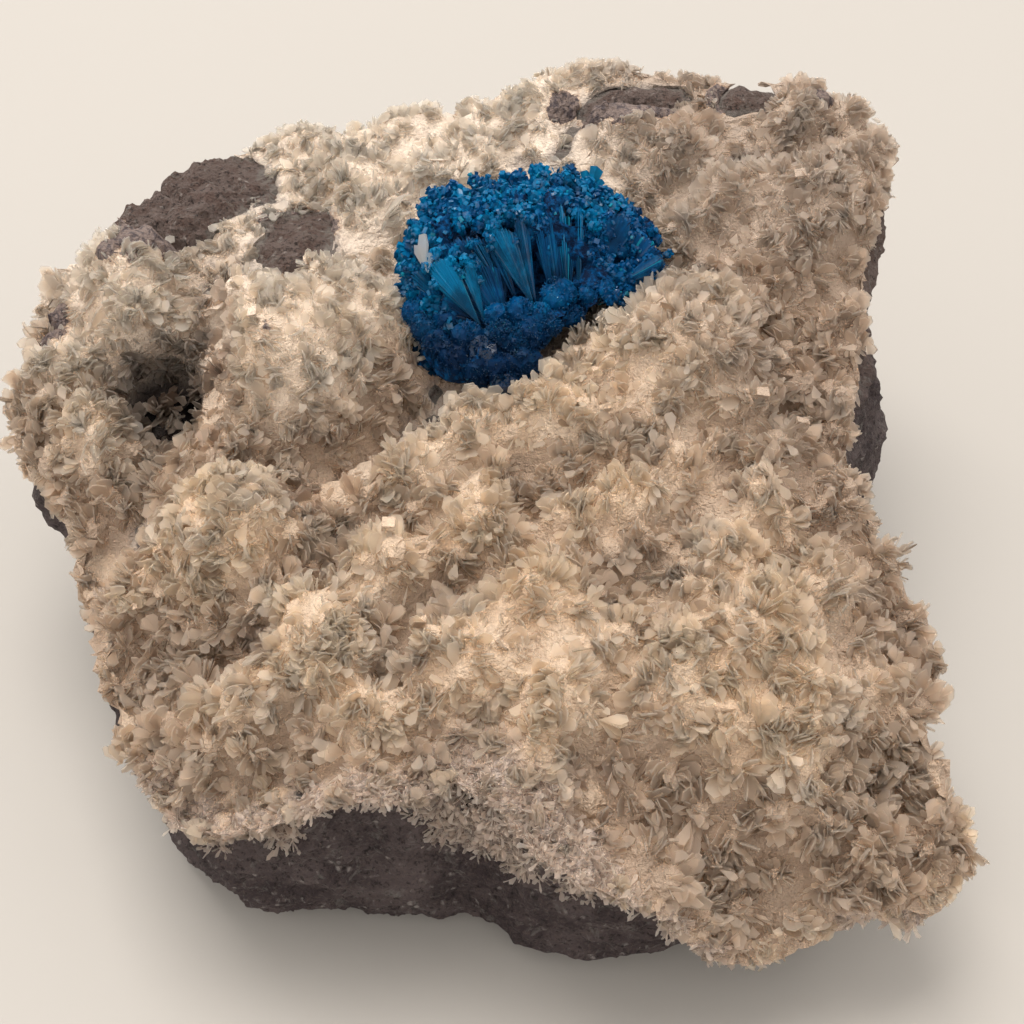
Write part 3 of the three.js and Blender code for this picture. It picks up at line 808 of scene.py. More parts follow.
def swellBed(piece, whole, broken, heart, radius, rockTree):
    # sinks the bed, then lets a solid core swell out of it under every clump
    mesh = piece.data
    places, out = pointsOf(mesh), pointsOf(mesh, "normal")
    room = np.clip(distanceTo(rockTree, places) - bed["skin"], 0, bed["sunk"])
    places -= out * (room * whole)[:, None]
    tree = KDTree(len(heart))
    for i, spot in enumerate(heart):
        tree.insert(Vector(spot), i)
    tree.balance()
    push = np.zeros(len(places))
    for i, (place, way) in enumerate(zip(places, out)):
        if whole[i] > 0.5:
            for spot, k, far in tree.find_n(Vector(place), 3):
                core = clumps["core"] * radius[k]
                offset = place - heart[k]
                along = offset @ way
                inside = along * along - (offset @ offset - core * core)
                if inside > 0:
                    push[i] = max(push[i], min(math.sqrt(inside) - along, clumps["mostSwell"]))
    fibres = 0.42 * scallops(places * np.array((1.0, 1.0, 0.35)), 0.75, 51)
    fibres += 0.15 * softNoise(places, 0.5, 53)
    places += out * (push + fibres * broken)[:, None]
    places[:, 2] -= pit["crust"] * pitShare(places)
    movePoints(mesh, places)


# the free end of a blade: share of the width, share of the length
broadEnd = ((0.46, 0.68), (0.30, 0.97), (-0.18, 1.0), (-0.5, 0.76))
plainEnd = ((0.5, 0.80), (0.04, 1.0), (-0.5, 0.88))


def plates(end, root, along, across, length, width, thickness, random):
    # thin plates that widen from a point at the root: corners and sets of faces
    count, tops = len(root), len(end)
    flat = np.cross(across, along)
    shape = np.repeat(np.array(end)[None], count, axis=0)
    shape[..., 0] += random.uniform(-0.10, 0.10, (count, tops))
    shape[..., 1] += random.uniform(-0.07, 0.04, (count, tops))
    sheet = root[:, None] + across[:, None] * (shape[..., :1] * width[:, None, None])
    sheet = sheet + along[:, None] * (shape[..., 1:] * length[:, None, None])
    half = (flat * thickness[:, None] / 2)[:, None]
    corners = np.concatenate([root[:, None], sheet + half, sheet - half], axis=1)
    base = np.arange(count)[:, None] * (1 + 2 * tops)
    caps = np.concatenate([base + np.arange(tops + 1), base + np.array((0, *range(2 * tops, tops, -1)))])
    rims = [(i + 1, i, i + tops, i + 1 + tops) for i in range(1, tops)]
    rims = (base[:, None] + np.array(rims)[None]).reshape(-1, 4)
    roots = (base[:, None] + np.array([(1, 0, tops + 1), (0, tops, 2 * tops)])[None]).reshape(-1, 3)
    return corners.reshape(-1, 3), caps, rims, roots


def forFaces(end, **values):
    # a value of each plate, repeated for its two caps, its rims and its two root faces
    rims = len(end) - 1
    return [(label, np.concatenate([value, value, value.repeat(rims, axis=0), value.repeat(2, axis=0)]))
            for label, value in values.items()]


def growSheaves(heart, way, radius, random):
    # in a sheaf the blades lie like the pages of a half-open book
    each, pages = clumps["sheaves"], clumps["blades"]
    sheaf = np.arange(len(way)).repeat(each)
    axis = leaning(way[sheaf], 1.3 * np.sqrt(random.random(len(sheaf))), random)
    flat = squareTo(axis, random)
    across = np.cross(axis, flat)
    root = heart[sheaf] + random.normal(0, 0.24, axis.shape) * radius[sheaf][:, None]
    reach = radius[sheaf] * random.uniform(0.86, 1.12, len(sheaf))
    owner, axis, flat, across, root, reach = (
        part.repeat(pages, axis=0) for part in (sheaf, axis, flat, across, root, reach))
    count = len(owner)
    spread = np.tile(np.linspace(-0.33, 0.33, pages), len(sheaf)) + random.normal(0, 0.14, count)
    fan = random.normal(0, 0.22, count)
    along = unit(axis * np.cos(spread)[:, None] + flat * np.sin(spread)[:, None] + across * fan[:, None])
    across = unit(across + random.normal(0, 0.22, (count, 3)))
    across = unit(across - along * np.sum(across * along, axis=1, keepdims=True))
    return (root, along, across, reach * random.uniform(0.9, 1.03, count),
            random.uniform(*clumps["bladeWidth"], count),
            random.uniform(*clumps["bladeThickness"], count)), owner


def growFlakes(heart, way, radius, random):
    # small blades that spread every way from the heart of a clump
    owner = np.arange(len(way)).repeat(clumps["flakes"])
    count = len(owner)
    along = leaning(way[owner], 1.45 * np.sqrt(random.random(count)), random)
    length = radius[owner] * random.uniform(0.84, 1.03, count)
    return (heart[owner], along, squareTo(along, random), length,
            random.uniform(*clumps["flakeWidth"], count),
            random.uniform(*clumps["flakeThickness"], count)), owner


def growLoose(heart, way, radius, random):
    # single blades that lie askew on the clumps
    owner = random.integers(0, len(way), clumps["loose"])
    count = len(owner)
    out = leaning(way[owner], random.uniform(0, 1.1, count), random)
    root = heart[owner] + out * (radius[owner] * random.uniform(0.62, 0.8, count))[:, None]
    along = leaning(out, random.uniform(0.5, 1.25, count), random)
    return (root, along, squareTo(along, random), random.uniform(*clumps["looseLength"], count),
            random.uniform(*clumps["looseWidth"], count),
            random.uniform(*clumps["looseThickness"], count)), owner


def trimmed(parts, inHollow, shell, random):
    # shortens the blades that would stand too far out of the crust
    root, along, across, length, *rest = parts
    most = random.uniform(*clumps["standOut"], len(root))
    most += clumps["hollowOut"] * np.clip(inHollow - 0.35, 0, 1)
    for i, tip in enumerate(root + along * length[:, None]):
        place, out, _, far = shell.find_nearest(Vector(tip))
        limit = most[i] * (0.4 if out.z < 0.35 or place.y > 26 else 1.0)
        if far > limit and (Vector(tip) - place).dot(out) > 0:
            length[i] = max(0.3, length[i] - (far - limit) / max(out.dot(Vector(along[i])), 0.4))
    return root, along, across, length, *rest


def makeBlades(heart, way, radius, hollow, shell, finish, random):
    sheaves, sheafOwner = growSheaves(heart, way, radius, random)
    loose, looseOwner = growLoose(heart, way, radius, random)
    broad = tuple(np.concatenate(pair) for pair in zip(sheaves, loose))
    flakes, flakeOwner = growFlakes(heart, way, radius, random)
    low, high = (np.array(corner) / mm for corner in cadBox)
    pieces = []
    thirds = ("Front", "Middle", "Back")
    for kind, end, parts, owner in (
            ("stilbiteBlades", broadEnd, broad, np.concatenate([sheafOwner, looseOwner])),
            ("stilbiteFlakes", plainEnd, flakes, flakeOwner)):
        parts = trimmed(parts, hollow[owner], shell, random)
        tip = parts[0] + parts[1] * parts[3][:, None]
        inside = np.all((tip > low - 0.1) & (tip < high + 0.1), axis=1) & (tip[:, 2] > 0.4)
        inside &= np.hypot(tip[:, 0] - pit["x"], tip[:, 1] - pit["y"]) > pit["open"]
        order = np.flatnonzero(inside)
        order = order[np.argsort(heart[owner[order], 1], kind="stable")]
        for name, part in zip(thirds, np.array_split(order, len(thirds))):
            corners, caps, rims, roots = plates(end, *(values[part] for values in parts), random)
            own = 0.6 * random.random(len(part))
            own = own + 0.4 * cellValue(owner[part][:, None] + np.zeros(3), 3)
            tint = regionTints(tip[part], clumps)
            # painted shade on blades in the hollows
            tint = blend(tint, clumps["hollowShade"], 0.85 * hollow[owner[part]])
            tint = blend(tint, clumps["clear"], 0.2 * smoothStep(own, 0.6, 1.0))
            tint = blend(tint, clumps["brown"], 0.6 * (random.random(len(part)) < clumps["brownShare"]))
            tint = blend(tint, clumps["shadow"], 0.6 * seamShare(tip[part]))
            # painted shade on blades deep in the pit, below its rim
            under = smoothStep(pit["rim"] - tip[part][:, 2], 0, 2.5)
            tint = blend(tint, clumps["pit"], under * pitShare(tip[part]) ** 0.6)
            values = forFaces(end, own=own, tint=tint)
            piece = meshFrom(kind + name, corners, (caps, rims, roots), finish, values)
            pieces.append(piece)
            print(piece.name + ":", len(part), "blades,", triangleCount(piece), "triangles")
    return pieces


def makeShreds(piece, share, count, name, finish, random):
    # short splinters that lie every way, where the crust is broken
    spot, out = spotsOn(piece.data, count, random, share)
    along = leaning(out, random.uniform(0.9, 1.6, count), random)
    length = random.uniform(*clumps["shredLength"], count)
    across = squareTo(along, random)
    width = random.uniform(*clumps["shredWidth"], count)
    thickness = random.uniform(*clumps["shredThickness"], count)
    corners, *faces = plates(plainEnd, spot - out * 0.12, along, across, length, width, thickness, random)
    own = random.random(count)
    pale, dull = clumps["splinter"]
    tint = blend(np.tile(pale, (count, 1)), dull, own)
    shreds = meshFrom(name, corners, faces, finish, forFaces(plainEnd, own=own, tint=tint))
    print(name + ":", triangleCount(shreds), "triangles")
    return shreds


# a white shard that is caught on the left of the blue crystals: place, direction, width,
# length, thickness
shards = (
    ((-2.6, 6.4, 29.3), (-0.10, 0.70, 0.71), 0.75, 2.6, 0.4),
    ((-2.5, 6.4, 29.2), (0.12, 0.68, 0.72), 0.60, 1.4, 0.35),
    ((-2.7, 6.6, 29.2), (-0.32, 0.66, 0.69), 0.60, 1.9, 0.3),
)
shardFace = (-0.35, -0.75, 0.55)  # the way its broad sides look


def makeChip(finish, random):
    # the caught shard, from three plates
    place, along, width, length, thickness = (np.array(part, dtype=float) for part in zip(*shards))
    along = unit(along)
    across = unit(np.cross(along, np.array(shardFace)))
    corners, *faces = plates(broadEnd, place, along, across, length, width, thickness, random)
    count = len(place)
    values = forFaces(broadEnd, own=np.full(count, 0.9), tint=np.tile(clumps["chip"], (count, 1)))
    return meshFrom("stilbiteChip", corners, faces, finish, values)


def makeCrust(rock):
    rockTree = searchTree(rock.data)
    random = chance(clumps["seed"])
    crustBed, stand, faceUp, broken, bare = makeBed()
    places, out = pointsOf(crustBed.data), pointsOf(crustBed.data, "normal")
    # how deep each point lies in a hollow, less towards the back where the light falls in and on the walls;
    # it sets the painted shade in the hollows and how deep the clumps sit
    openToLight = smoothStep(places[:, 1], 6, 20)
    wall = np.clip(1.1 - 2 * out[:, 2], 0, 1)
    hollow = np.clip(0.2 - stand / 2.0, 0, 1) * (1 - 0.8 * openToLight) * (1 - 0.7 * wall)
    tree = KDTree(len(places))
    for i, place in enumerate(places):
        tree.insert(Vector(place), i)
    tree.balance()

    def hollowAt(spots):
        return np.array([hollow[tree.find(Vector(spot))[1]] for spot in spots])

    heart, way, radius, clumpHollow = placeClumps(crustBed.data, rockTree, hollowAt, bare, random)
    print("clumps:", len(heart))
    shell = searchTree(crustBed.data)
    swellBed(crustBed, faceUp * (1 - broken) * (1 - bare), broken, heart, radius, rockTree)
    places = pointsOf(crustBed.data)
    # painted shade in the hollows of the bed
    tint = blend(regionTints(places, bed), bed["shade"], 0.85 * hollow)
    torn = 0.9 * smoothStep(broken, 0.2, 0.6)
    store(crustBed.data, "tint", blend(tint, bed["brokenWhite"], torn), "POINT")
    store(crustBed.data, "contact", np.clip(1.0 - distanceTo(rockTree, places) / 0.9, 0, 1), "POINT")
    near = distanceTo(searchTree(crustBed.data), pointsOf(rock.data))
    store(rock.data, "contact", np.clip(1.1 - near / 1.5, 0, 1), "POINT")

    blades = bladeFinish()
    pieces = makeBlades(heart, way, radius, clumpHollow, shell, blades, random)
    onBed, onRock = clumps["shreds"]
    pieces.append(makeShreds(crustBed, broken, onBed, "stilbiteShreds", blades, random))
    smeared = nearSpots(pointsOf(rock.data), basalt["smeared"])
    pieces.append(makeShreds(rock, smeared, onRock, "stilbiteSmear", blades, random))
    return crustBed, *pieces, makeChip(blades, random)


# directions as the blue crystals face: to the right, up along the front, and away to the back
fanRight = np.array((1.0, 0.0, 0.0))
fanUp = np.array((0.0, math.sqrt(0.5), math.sqrt(0.5)))
fanBack = np.array((0.0, math.sqrt(0.5), -math.sqrt(0.5)))

blue = {
    "seed": 17,
    "coreVoxel": 0.4,
    "coreSunk": 1.6,
    # each ball: root, reach in each direction, how its inner sheaves are strewn
    "leftFan": {
        "root": (2.8, 6.5, 23.8),
        "reach": ((0, 6.0), (90, 12.0), (112, 12.0), (135, 10.8), (150, 9.4), (168, 7.9), (196, 6.8)),
        "around": (84, 196),
        "lean": (8, 64),
        "sheaves": 44,
    },
    "rightFan": {
        "root": (6.8, 6.6, 24.2),
        "reach": ((0, 7.0), (45, 9.4), (75, 11.6), (90, 12.1), (120, 11.8)),
        "around": (58, 104),
        "lean": (8, 64),
        "sheaves": 24,
    },
    "sideBall": {
        "root": (9.4, 8.7, 25.0),
        "reach": ((-20, 4.0), (0, 4.6), (20, 5.2), (27, 5.6), (49, 6.9), (65, 8.0), (95, 8.6), (120, 8.4)),
        "around": (6, 98),
        "lean": (0, 56),
        "sheaves": 26,
    },
    # share of the reach at each lean
    "byLean": ((-40, 0.62), (4, 0.93), (12, 1.0), (32, 1.04), (60, 0.95)),
    "bladesInSheaf": 8,
    "grainsOnBlade": 3,
    # tufts that cover the front of a ball: first and last direction, share of the reach, depth at the
    # inner and outer edge, how much they turn to the front, number, radius, tone
    "coats": (
        ("leftFan", (120, 206), (0.48, 0.98), (-3.2, 0.6), 0.9, 74, (0.50, 0.85), (0.35, 0.95)),
        ("leftFan", (78, 122), (0.66, 0.97), (-2.6, 0.8), 0.8, 52, (0.45, 0.75), (0.15, 0.75)),
        ("rightFan", (62, 108), (0.66, 0.97), (-2.2, 0.8), 0.8, 46, (0.45, 0.75), (0.15, 0.75)),
        ("sideBall", (-14, 108), (0.22, 0.97), (-3.0, 0.2), 1.1, 74, (0.36, 0.62), (-0.1, 0.25)),
    ),
    # fronts of fine blades side by side: right, up and back of the left root, direction, lean, length,
    # half angle, blades, tone, unevenness, tufts on the end; the wide dark ones lie behind the others
    "fronts": (
        ((0.0, 0.2, -0.9), 130, -7, 7.4, 42, 120, 0.10, 0.40, 0),
        ((0.4, 0.0, -1.4), 142, -9, 5.8, 40, 90, 0.20, 0.40, 0),
        ((4.4, 0.8, -0.2), 98, -5, 8.8, 17, 70, 0.10, 0.60, 0),
        ((4.4, 0.8, -0.6), 97, -7, 7.8, 13, 50, 0.30, 0.70, 0),
        ((6.6, 2.2, 0.6), 52, -12, 6.0, 44, 70, 0.00, 0.3, 0),
        ((-1.7, 0.3, -2.5), 126, -9, 5.6, 13, 50, 0.90, 0.2, 6),
        ((-1.4, 0.5, -2.6), 107, -10, 4.3, 8, 30, 0.95, 0.3, 4),
        ((-4.0, 1.6, -2.0), 134, -8, 3.6, 12, 20, 0.45, 0.4, 4),
        ((0.0, 2.6, -1.7), 122, -8, 4.2, 9, 22, 0.50, 0.5, 4),
        ((0.9, 1.9, -1.5), 112, -9, 5.2, 7, 20, 0.30, 0.6, 3),
        ((2.1, 1.6, -1.6), 116, -12, 6.3, 11, 56, 0.62, 0.22, 7),
        ((2.2, 1.8, -1.5), 102, -12, 6.4, 6, 30, 0.40, 0.35, 3),
        ((3.4, 2.0, -0.9), 100, -9, 6.4, 5, 18, 0.15, 0.7, 2),
        ((3.9, 1.8, -1.0), 98, -9, 6.8, 4, 16, 0.35, 0.6, 2),
        ((4.5, 1.6, -0.9), 95, -9, 7.4, 3, 14, 0.75, 0.6, 0),
        ((5.2, 1.4, -0.8), 90, -9, 7.6, 3, 14, 0.45, 0.6, 0),
        ((6.0, 3.4, -0.6), 64, -16, 5.6, 14, 34, 0.10, 0.12, 5),
        ((7.6, 3.2, -1.0), 27, -20, 4.3, 11, 26, 0.22, 0.12, 3),
    ),
    # no tufts of the coats stand before the two bright fronts: right, up, radius
    "keptOpen": (
        (-5.6, 5.2, 0.9), (-5.5, 4.0, 0.8), (-3.4, 2.9, 1.5), (-2.2, 1.7, 1.2),
        (0.9, 4.6, 1.7), (1.5, 3.2, 1.3), (0.1, 6.2, 0.9),
    ),
    "frontBulge": 0.5,  # how far the middle of a front stands out
    "bladeSpread": 0.18,  # how far the blades of a front stand before each other
    # balls of fine grains: right, up and back of the left root, radius
    "buttons": (
        (3.7, 2.5, -1.9, 1.30), (-0.6, 0.9, -2.5, 1.00), (1.0, 1.2, -2.5, 1.10),
        (2.4, 0.9, -2.5, 1.05), (-2.6, -0.6, -2.9, 1.20), (-1.5, -1.6, -3.1, 1.35),
        (-0.4, -0.5, -3.0, 1.20), (0.6, -1.1, -3.1, 1.25), (1.8, -0.4, -2.9, 1.25),
        (3.0, 0.5, -2.5, 1.05), (-1.8, -2.9, -3.4, 1.25), (-0.2, -2.9, -3.5, 1.35),
        (1.3, -2.3, -3.3, 1.25), (0.0, -3.7, -3.9, 0.95), (-4.6, -1.0, -2.5, 1.20),
        (-3.5, -2.0, -2.9, 1.25), (-5.5, 0.3, -1.9, 1.20), (-4.1, 0.5, -2.3, 1.10),
        (4.7, 1.1, -1.8, 0.85), (-6.4, 1.4, -1.4, 0.95), (5.8, 2.6, -1.6, 0.75),
        (7.0, 3.0, -1.9, 0.75),
    ),
    "brightShare": (0.02, 0.01),  # how many blades and grains carry a painted glint
    "bladesInTuft": 7,
    "bristles": 20,  # on a head of half a millimetre
    "grainsPerArea": 34,  # on each square millimetre of a head
    # a clear crystal that stands up at the back: right, up and back of the left root
    "clearCrystal": (5.9, 9.9, 0.4),
    # fine needles at the foot: place, direction, how many
    "needles": ((2.0, -0.2, 24.2), (0.05, -0.75, 0.1), 18),
    "deep": (0.001, 0.068, 0.205),
    "teal": (0.001, 0.185, 0.390),
    # cyan of the painted glints, and of the needles
    "cyan": (0.010, 0.300, 0.420),
    "navy": (0.002, 0.010, 0.035),
    "mauve": (0.075, 0.115, 0.185),
}


def fanWay(lean, around):
    # direction of a blade: around the front in degrees, and how far it leans back
    a, t = np.radians(around), np.radians(lean)
    flat = np.outer(np.cos(a), fanRight) + np.outer(np.sin(a), fanUp)
    return flat * np.cos(t)[:, None] + np.outer(np.sin(t), fanBack)


def fromRoot(right, up, back):
    # a place in the directions of the blue crystals
    return np.array(blue["leftFan"]["root"]) + right * fanRight + up * fanUp + back * fanBack


def blueBlades(start, along, across, length, wide, thick, random):
    # four-sided blades that widen along their length and end in a blunt, off-centre point
    count = len(start)
    other = np.cross(along, across)
    blunt = length * random.uniform(0.02, 0.06, count)
    rings = []
    for far in (0, 1):
        middle = start + along * ((length - blunt) * far)[:, None]
        for sx, sy in ((-1, -1), (1, -1), (1, 1), (-1, 1)):
            slant = random.uniform(-0.8, 0.8, count) * blunt * far
            rings.append(middle + across * (sx * wide * (0.3 + 0.7 * far))[:, None]
                         + other * (sy * thick * (0.4 + 0.6 * far))[:, None] + along * slant[:, None])
    point = start + along * length[:, None]
    point = point + across * (random.uniform(-0.6, 0.6, count) * wide)[:, None]
    corners = np.stack([*rings, point], axis=1)
    base = np.arange(count)[:, None] * 9
    quads = [(3, 2, 1, 0)] + [(i, (i + 1) % 4, (i + 1) % 4 + 4, i + 4) for i in range(4)]
    quads = (base[:, None] + np.array(quads)[None]).reshape(-1, 4)
    tips = (base[:, None] + np.array([(i + 4, (i + 1) % 4 + 4, 8) for i in range(4)])[None]).reshape(-1, 3)
    return corners.reshape(-1, 3), quads, tips


def blueGrains(start, along, length, wide, random):
    # small crystals, pointed at both ends, with their shoulder near the free end
    count = len(start)
    across = squareTo(along, random)
    other = np.cross(along, across) * random.uniform(0.5, 1.0, count)[:, None]
    shoulder = start + along * (length * random.uniform(0.6, 0.88, count))[:, None]
    ring = [shoulder + (across * sx + other * sy) * wide[:, None]
            for sx, sy in ((1, 0), (0, 1), (-1, 0), (0, -1))]
    point = start + along * length[:, None] + across * (random.uniform(-0.4, 0.4, count) * wide)[:, None]
    corners = np.stack([start, *ring, point], axis=1)
    base = np.arange(count)[:, None] * 6
    lower = [(0, (i + 1) % 4 + 1, i + 1) for i in range(4)]
    upper = [(5, i + 1, (i + 1) % 4 + 1) for i in range(4)]
    return corners.reshape(-1, 3), (base[:, None] + np.array(lower + upper)[None]).reshape(-1, 3)


def blueFinish():
    crystal = Finish("cavansiteBlue", IOR=1.33, Transmission_Weight=0.2, Specular_IOR_Level=0.03)
    here = crystal.place()
    tip, own = crystal.stored("tip"), crystal.stored("own")
    drift = crystal.noise(here, 0.45, 4, 0.6)
    streaks = crystal.noise(crystal.place((4000, 900, 900)), 1.0, 3, 0.6)
    colour = crystal.mix((own + (streaks - 0.5) * 1.3).between(0.0, 0.95), blue["deep"], blue["teal"])
    colour = crystal.mix(drift.between(0.45, 0.65) * 0.6, colour, blue["navy"])
    # darker towards the roots of the blades: partly their own depth of colour, partly painted shade
    colour = crystal.mix((1 - tip.between(0.0, 0.7)) * 0.6, colour, blue["navy"])
    # painted glints: a few blades and grains turn cyan; the needles and the clear crystal take a set share
    # of it
    colour = crystal.mix(crystal.stored("bright"), colour, blue["cyan"])
    low = 1 - (crystal.axis(here, "Z") + crystal.axis(here, "Y") * 0.5).between(27.0, 30.5)
    colour = crystal.mix(low * 0.82, colour, blue["navy"])
    # mauve on the tips: partly dust, partly painted sheen
    dustAndSheen = crystal.noise(here, 1.1, 4, 0.65).between(0.42, 0.62)
    colour = crystal.mix(tip.between(0.75, 1.0) * dustAndSheen * 0.8, colour, blue["mauve"])
    crystal.feed("Base Color", colour)
    crystal.feed("Roughness", 0.22 + tip * 0.2 + drift * 0.1)
    crystal.feed("Coat Weight", (own * 7.3).fraction().between(0.86, 0.88) * 0.6)
    crystal.feed("Coat Roughness", 0.12)
    crystal.feed("Normal", crystal.bump(streaks, 0.4, 0.06))
    return crystal


def coreFinish():
    heartStone = Finish("cavansiteHeart", IOR=1.5, Specular_IOR_Level=0.1)
    grain = heartStone.noise(heartStone.place(), 2.2, 4, 0.7)
    heartStone.feed("Base Color", heartStone.mix(grain.between(0.4, 0.65), blue["navy"], blue["deep"]))
    heartStone.feed("Roughness", 0.6 + grain * 0.3)
    heartStone.feed("Normal", heartStone.bump(grain, 1.0, 0.3))
    return heartStone


def makeBlueCore():
    # the solid heart that fills the balls under their crystals
    piece = remeshed("cavansite_cluster", "cavansiteCore", blue["coreVoxel"], coreFinish())
    mesh = piece.data
    places, out = pointsOf(mesh), pointsOf(mesh, "normal")
    push = 0.4 * (scallops(places, 0.8, 71) - 0.5) - blue["coreSunk"]
    places += out * (push * np.clip((places[:, 2] - 18) / 2, 0, 1))[:, None]
    movePoints(mesh, places)
    mesh.shade_flat()
    print("cavansite core:", triangleCount(piece), "triangles")
    return piece


def reachOf(ball, around, lean):
    # how far a ball reaches in a direction
    angles, reach = zip(*ball["reach"])
    leans, shares = zip(*blue["byLean"])
    return np.interp(around, angles, reach) * np.interp(lean, leans, shares)


def innerSheaves(ball, random):
    # blades that spread from a ball's root: root, direction, across, length, half width,
    # half thickness, tone
    sheaves, each = ball["sheaves"], blue["bladesInSheaf"]
    around = random.uniform(*ball["around"], sheaves)
    lean = random.uniform(*ball["lean"], sheaves)
    axis = fanWay(lean, around)
    reach = reachOf(ball, around, lean) * random.uniform(0.88, 1.0, sheaves)
    tone = random.uniform(0.1, 0.8, sheaves)
    flat = squareTo(axis, random)
    axis, flat, reach, tone = (part.repeat(each, axis=0) for part in (axis, flat, reach, tone))
    count = sheaves * each
    turn = np.tile(np.linspace(-0.085, 0.085, each), sheaves) + random.normal(0, 0.02, count)
    side = np.cross(axis, flat)
    along = unit(axis + side * turn[:, None] + flat * random.normal(0, 0.045, count)[:, None])
    root = np.array(ball["root"]) + along * (reach * 0.25)[:, None]
    length = reach * random.uniform(0.68, 0.75, count)
    wide = reach * random.uniform(0.013, 0.030, count)
    return root, along, side, length, wide, wide * random.uniform(0.4, 0.9, count), tone


def smoothFronts(random):
    # blades side by side in one bulging face, each turned a little to its own light
    parts = []
    spread = blue["bladeSpread"]
    for place, around, lean, length, half, blades, tone, uneven, _ in blue["fronts"]:
        turn = np.linspace(-half, half, blades) + random.uniform(-0.2, 0.2, blades) * 2 * half / blades
        middling = 1 - (turn / half) ** 2
        leans = lean - math.degrees(blue["frontBulge"] / length) * middling
        leans += random.uniform(-1, 1, blades) * uneven
        along = fanWay(leans, around + turn)
        reach = length * (0.8 + 0.2 * middling) * (1 - uneven * random.uniform(-0.02, 0.14, blades))
        wide = reach * math.radians(2 * half / (blades - 1)) * 0.66
        face = fanWay(np.full(blades, lean - 90.0), np.full(blades, float(around)))
        across = unit(np.cross(face, along) + face * (uneven * random.uniform(-0.4, 0.4, blades))[:, None])
        before = uneven * random.uniform(-spread, spread, blades)
        tones = tone + (0.1 + 0.2 * uneven) * random.uniform(-1, 1, blades)
        root = fromRoot(*place) + face * before[:, None]
        parts.append((root, along, across, reach, wide, np.full(blades, 0.25), tones))
    return tuple(np.concatenate(part) for part in zip(*parts))


def coatTufts(random):
    # the tufts on the front of each ball: tip, direction, length, radius, tone
    parts = []
    for name, (first, last), (inner, outer), (near, far), forward, count, radius, tone in blue["coats"]:
        ball = blue[name]
        order = np.arange(count)
        golden = (order * 0.618034) % 1  # golden steps spread the tufts evenly
        around = first + (last - first) * golden + random.uniform(-2, 2, count)
        share = np.sqrt(inner ** 2 + (outer ** 2 - inner ** 2) * (order + 0.5) / count)
        outward = (share - inner) / (outer - inner)
        radial = fanWay(np.zeros(count), around)
        reach = reachOf(ball, around, np.full(count, 12.0)) * share * random.uniform(0.96, 1.04, count)
        tip = np.array(ball["root"]) + radial * reach[:, None]
        tip += np.outer(near + (far - near) * outward ** 1.6, fanBack)
        way = radial * (0.5 + 0.5 * outward)[:, None] - np.outer(forward * (1 - 0.75 * outward), fanBack)
        way = unit(unit(way) + random.normal(0, 0.16, (count, 3)))
        size = random.uniform(*radius, count)
        parts.append((tip, way, size * random.uniform(2.4, 3.2, count), size, random.uniform(*tone, count)))
    tip, way, length, size, tone = (np.concatenate(part) for part in zip(*parts))
    offset = tip - np.array(blue["leftFan"]["root"])
    free = np.full(len(tip), True)
    for right, up, radius in blue["keptOpen"]:
        free &= np.hypot(offset @ fanRight - right, offset @ fanUp - up) > radius + 0.3 * size
    return tip[free], way[free], length[free], size[free], tone[free]


def crestTufts(random):
    # the small tufts that the ends of the fronts carry
    parts = []
    for place, around, lean, length, half, _, tone, _, tufts in blue["fronts"]:
        turn = np.linspace(-half, half, tufts) + random.uniform(-2, 2, tufts)
        along = fanWay(np.full(tufts, lean - 3.0), around + turn)
        reach = length * (0.8 + 0.2 * (1 - (turn / half) ** 2)) * random.uniform(0.90, 1.10, tufts)
        size = random.uniform(0.30, 0.52, tufts)
        way = unit(along - fanBack * 0.35 + random.normal(0, 0.2, (tufts, 3)))
        parts.append((fromRoot(*place) + along * (reach + 0.3)[:, None], way, 2.4 * size, size,
                      0.8 * tone + random.uniform(-0.2, 0.2, tufts)))
    return tuple(np.concatenate(part) for part in zip(*parts))


def growTufts(tip, way, length, radius, tone, random):
    # each tuft is a cone of blades that carries a round head
    owner = np.arange(len(tip)).repeat(blue["bladesInTuft"])
    spread = (radius / length)[owner] * np.sqrt(random.random(len(owner)))
    along = leaning(way[owner], spread, random)
    start = (tip - way * length[:, None])[owner]
    reach = length[owner] * (1 - 0.25 * (spread / (radius / length)[owner]) ** 2)
    reach = reach * random.uniform(0.80, 0.97, len(owner))
    wide = radius[owner] * random.uniform(0.16, 0.34, len(owner))
    thick = wide * random.uniform(0.4, 0.8, len(owner))
    blades = (start, along, squareTo(along, random), reach, wide, thick,
              tone[owner] + random.uniform(-0.12, 0.12, len(owner)))
    heads = (tip - way * (0.9 * radius)[:, None], way, 0.95 * radius, tone)
    return blades, heads


def bristlesOn(middle, way, radius, tone, random):
    # blunt crystals that stand out of a head on all sides
    owner = np.arange(len(middle)).repeat((blue["bristles"] * (0.5 + radius)).astype(int))
    count = len(owner)
    out = leaning(way[owner], np.arccos(random.uniform(-0.3, 1.0, count)), random)
    stretch = 1 + 0.4 * np.abs(np.sum(out * way[owner], axis=1))
    length = radius[owner] * stretch * random.uniform(0.82, 1.22, count)
    out = leaning(out, random.uniform(0, 0.25, count), random)
    wide = (0.05 + 0.18 * radius[owner]) * random.uniform(0.6, 1.4, count)
    return (middle[owner], out, squareTo(out, random), length, wide,
            wide * random.uniform(0.45, 1.0, count), tone[owner] + random.uniform(-0.25, 0.3, count))


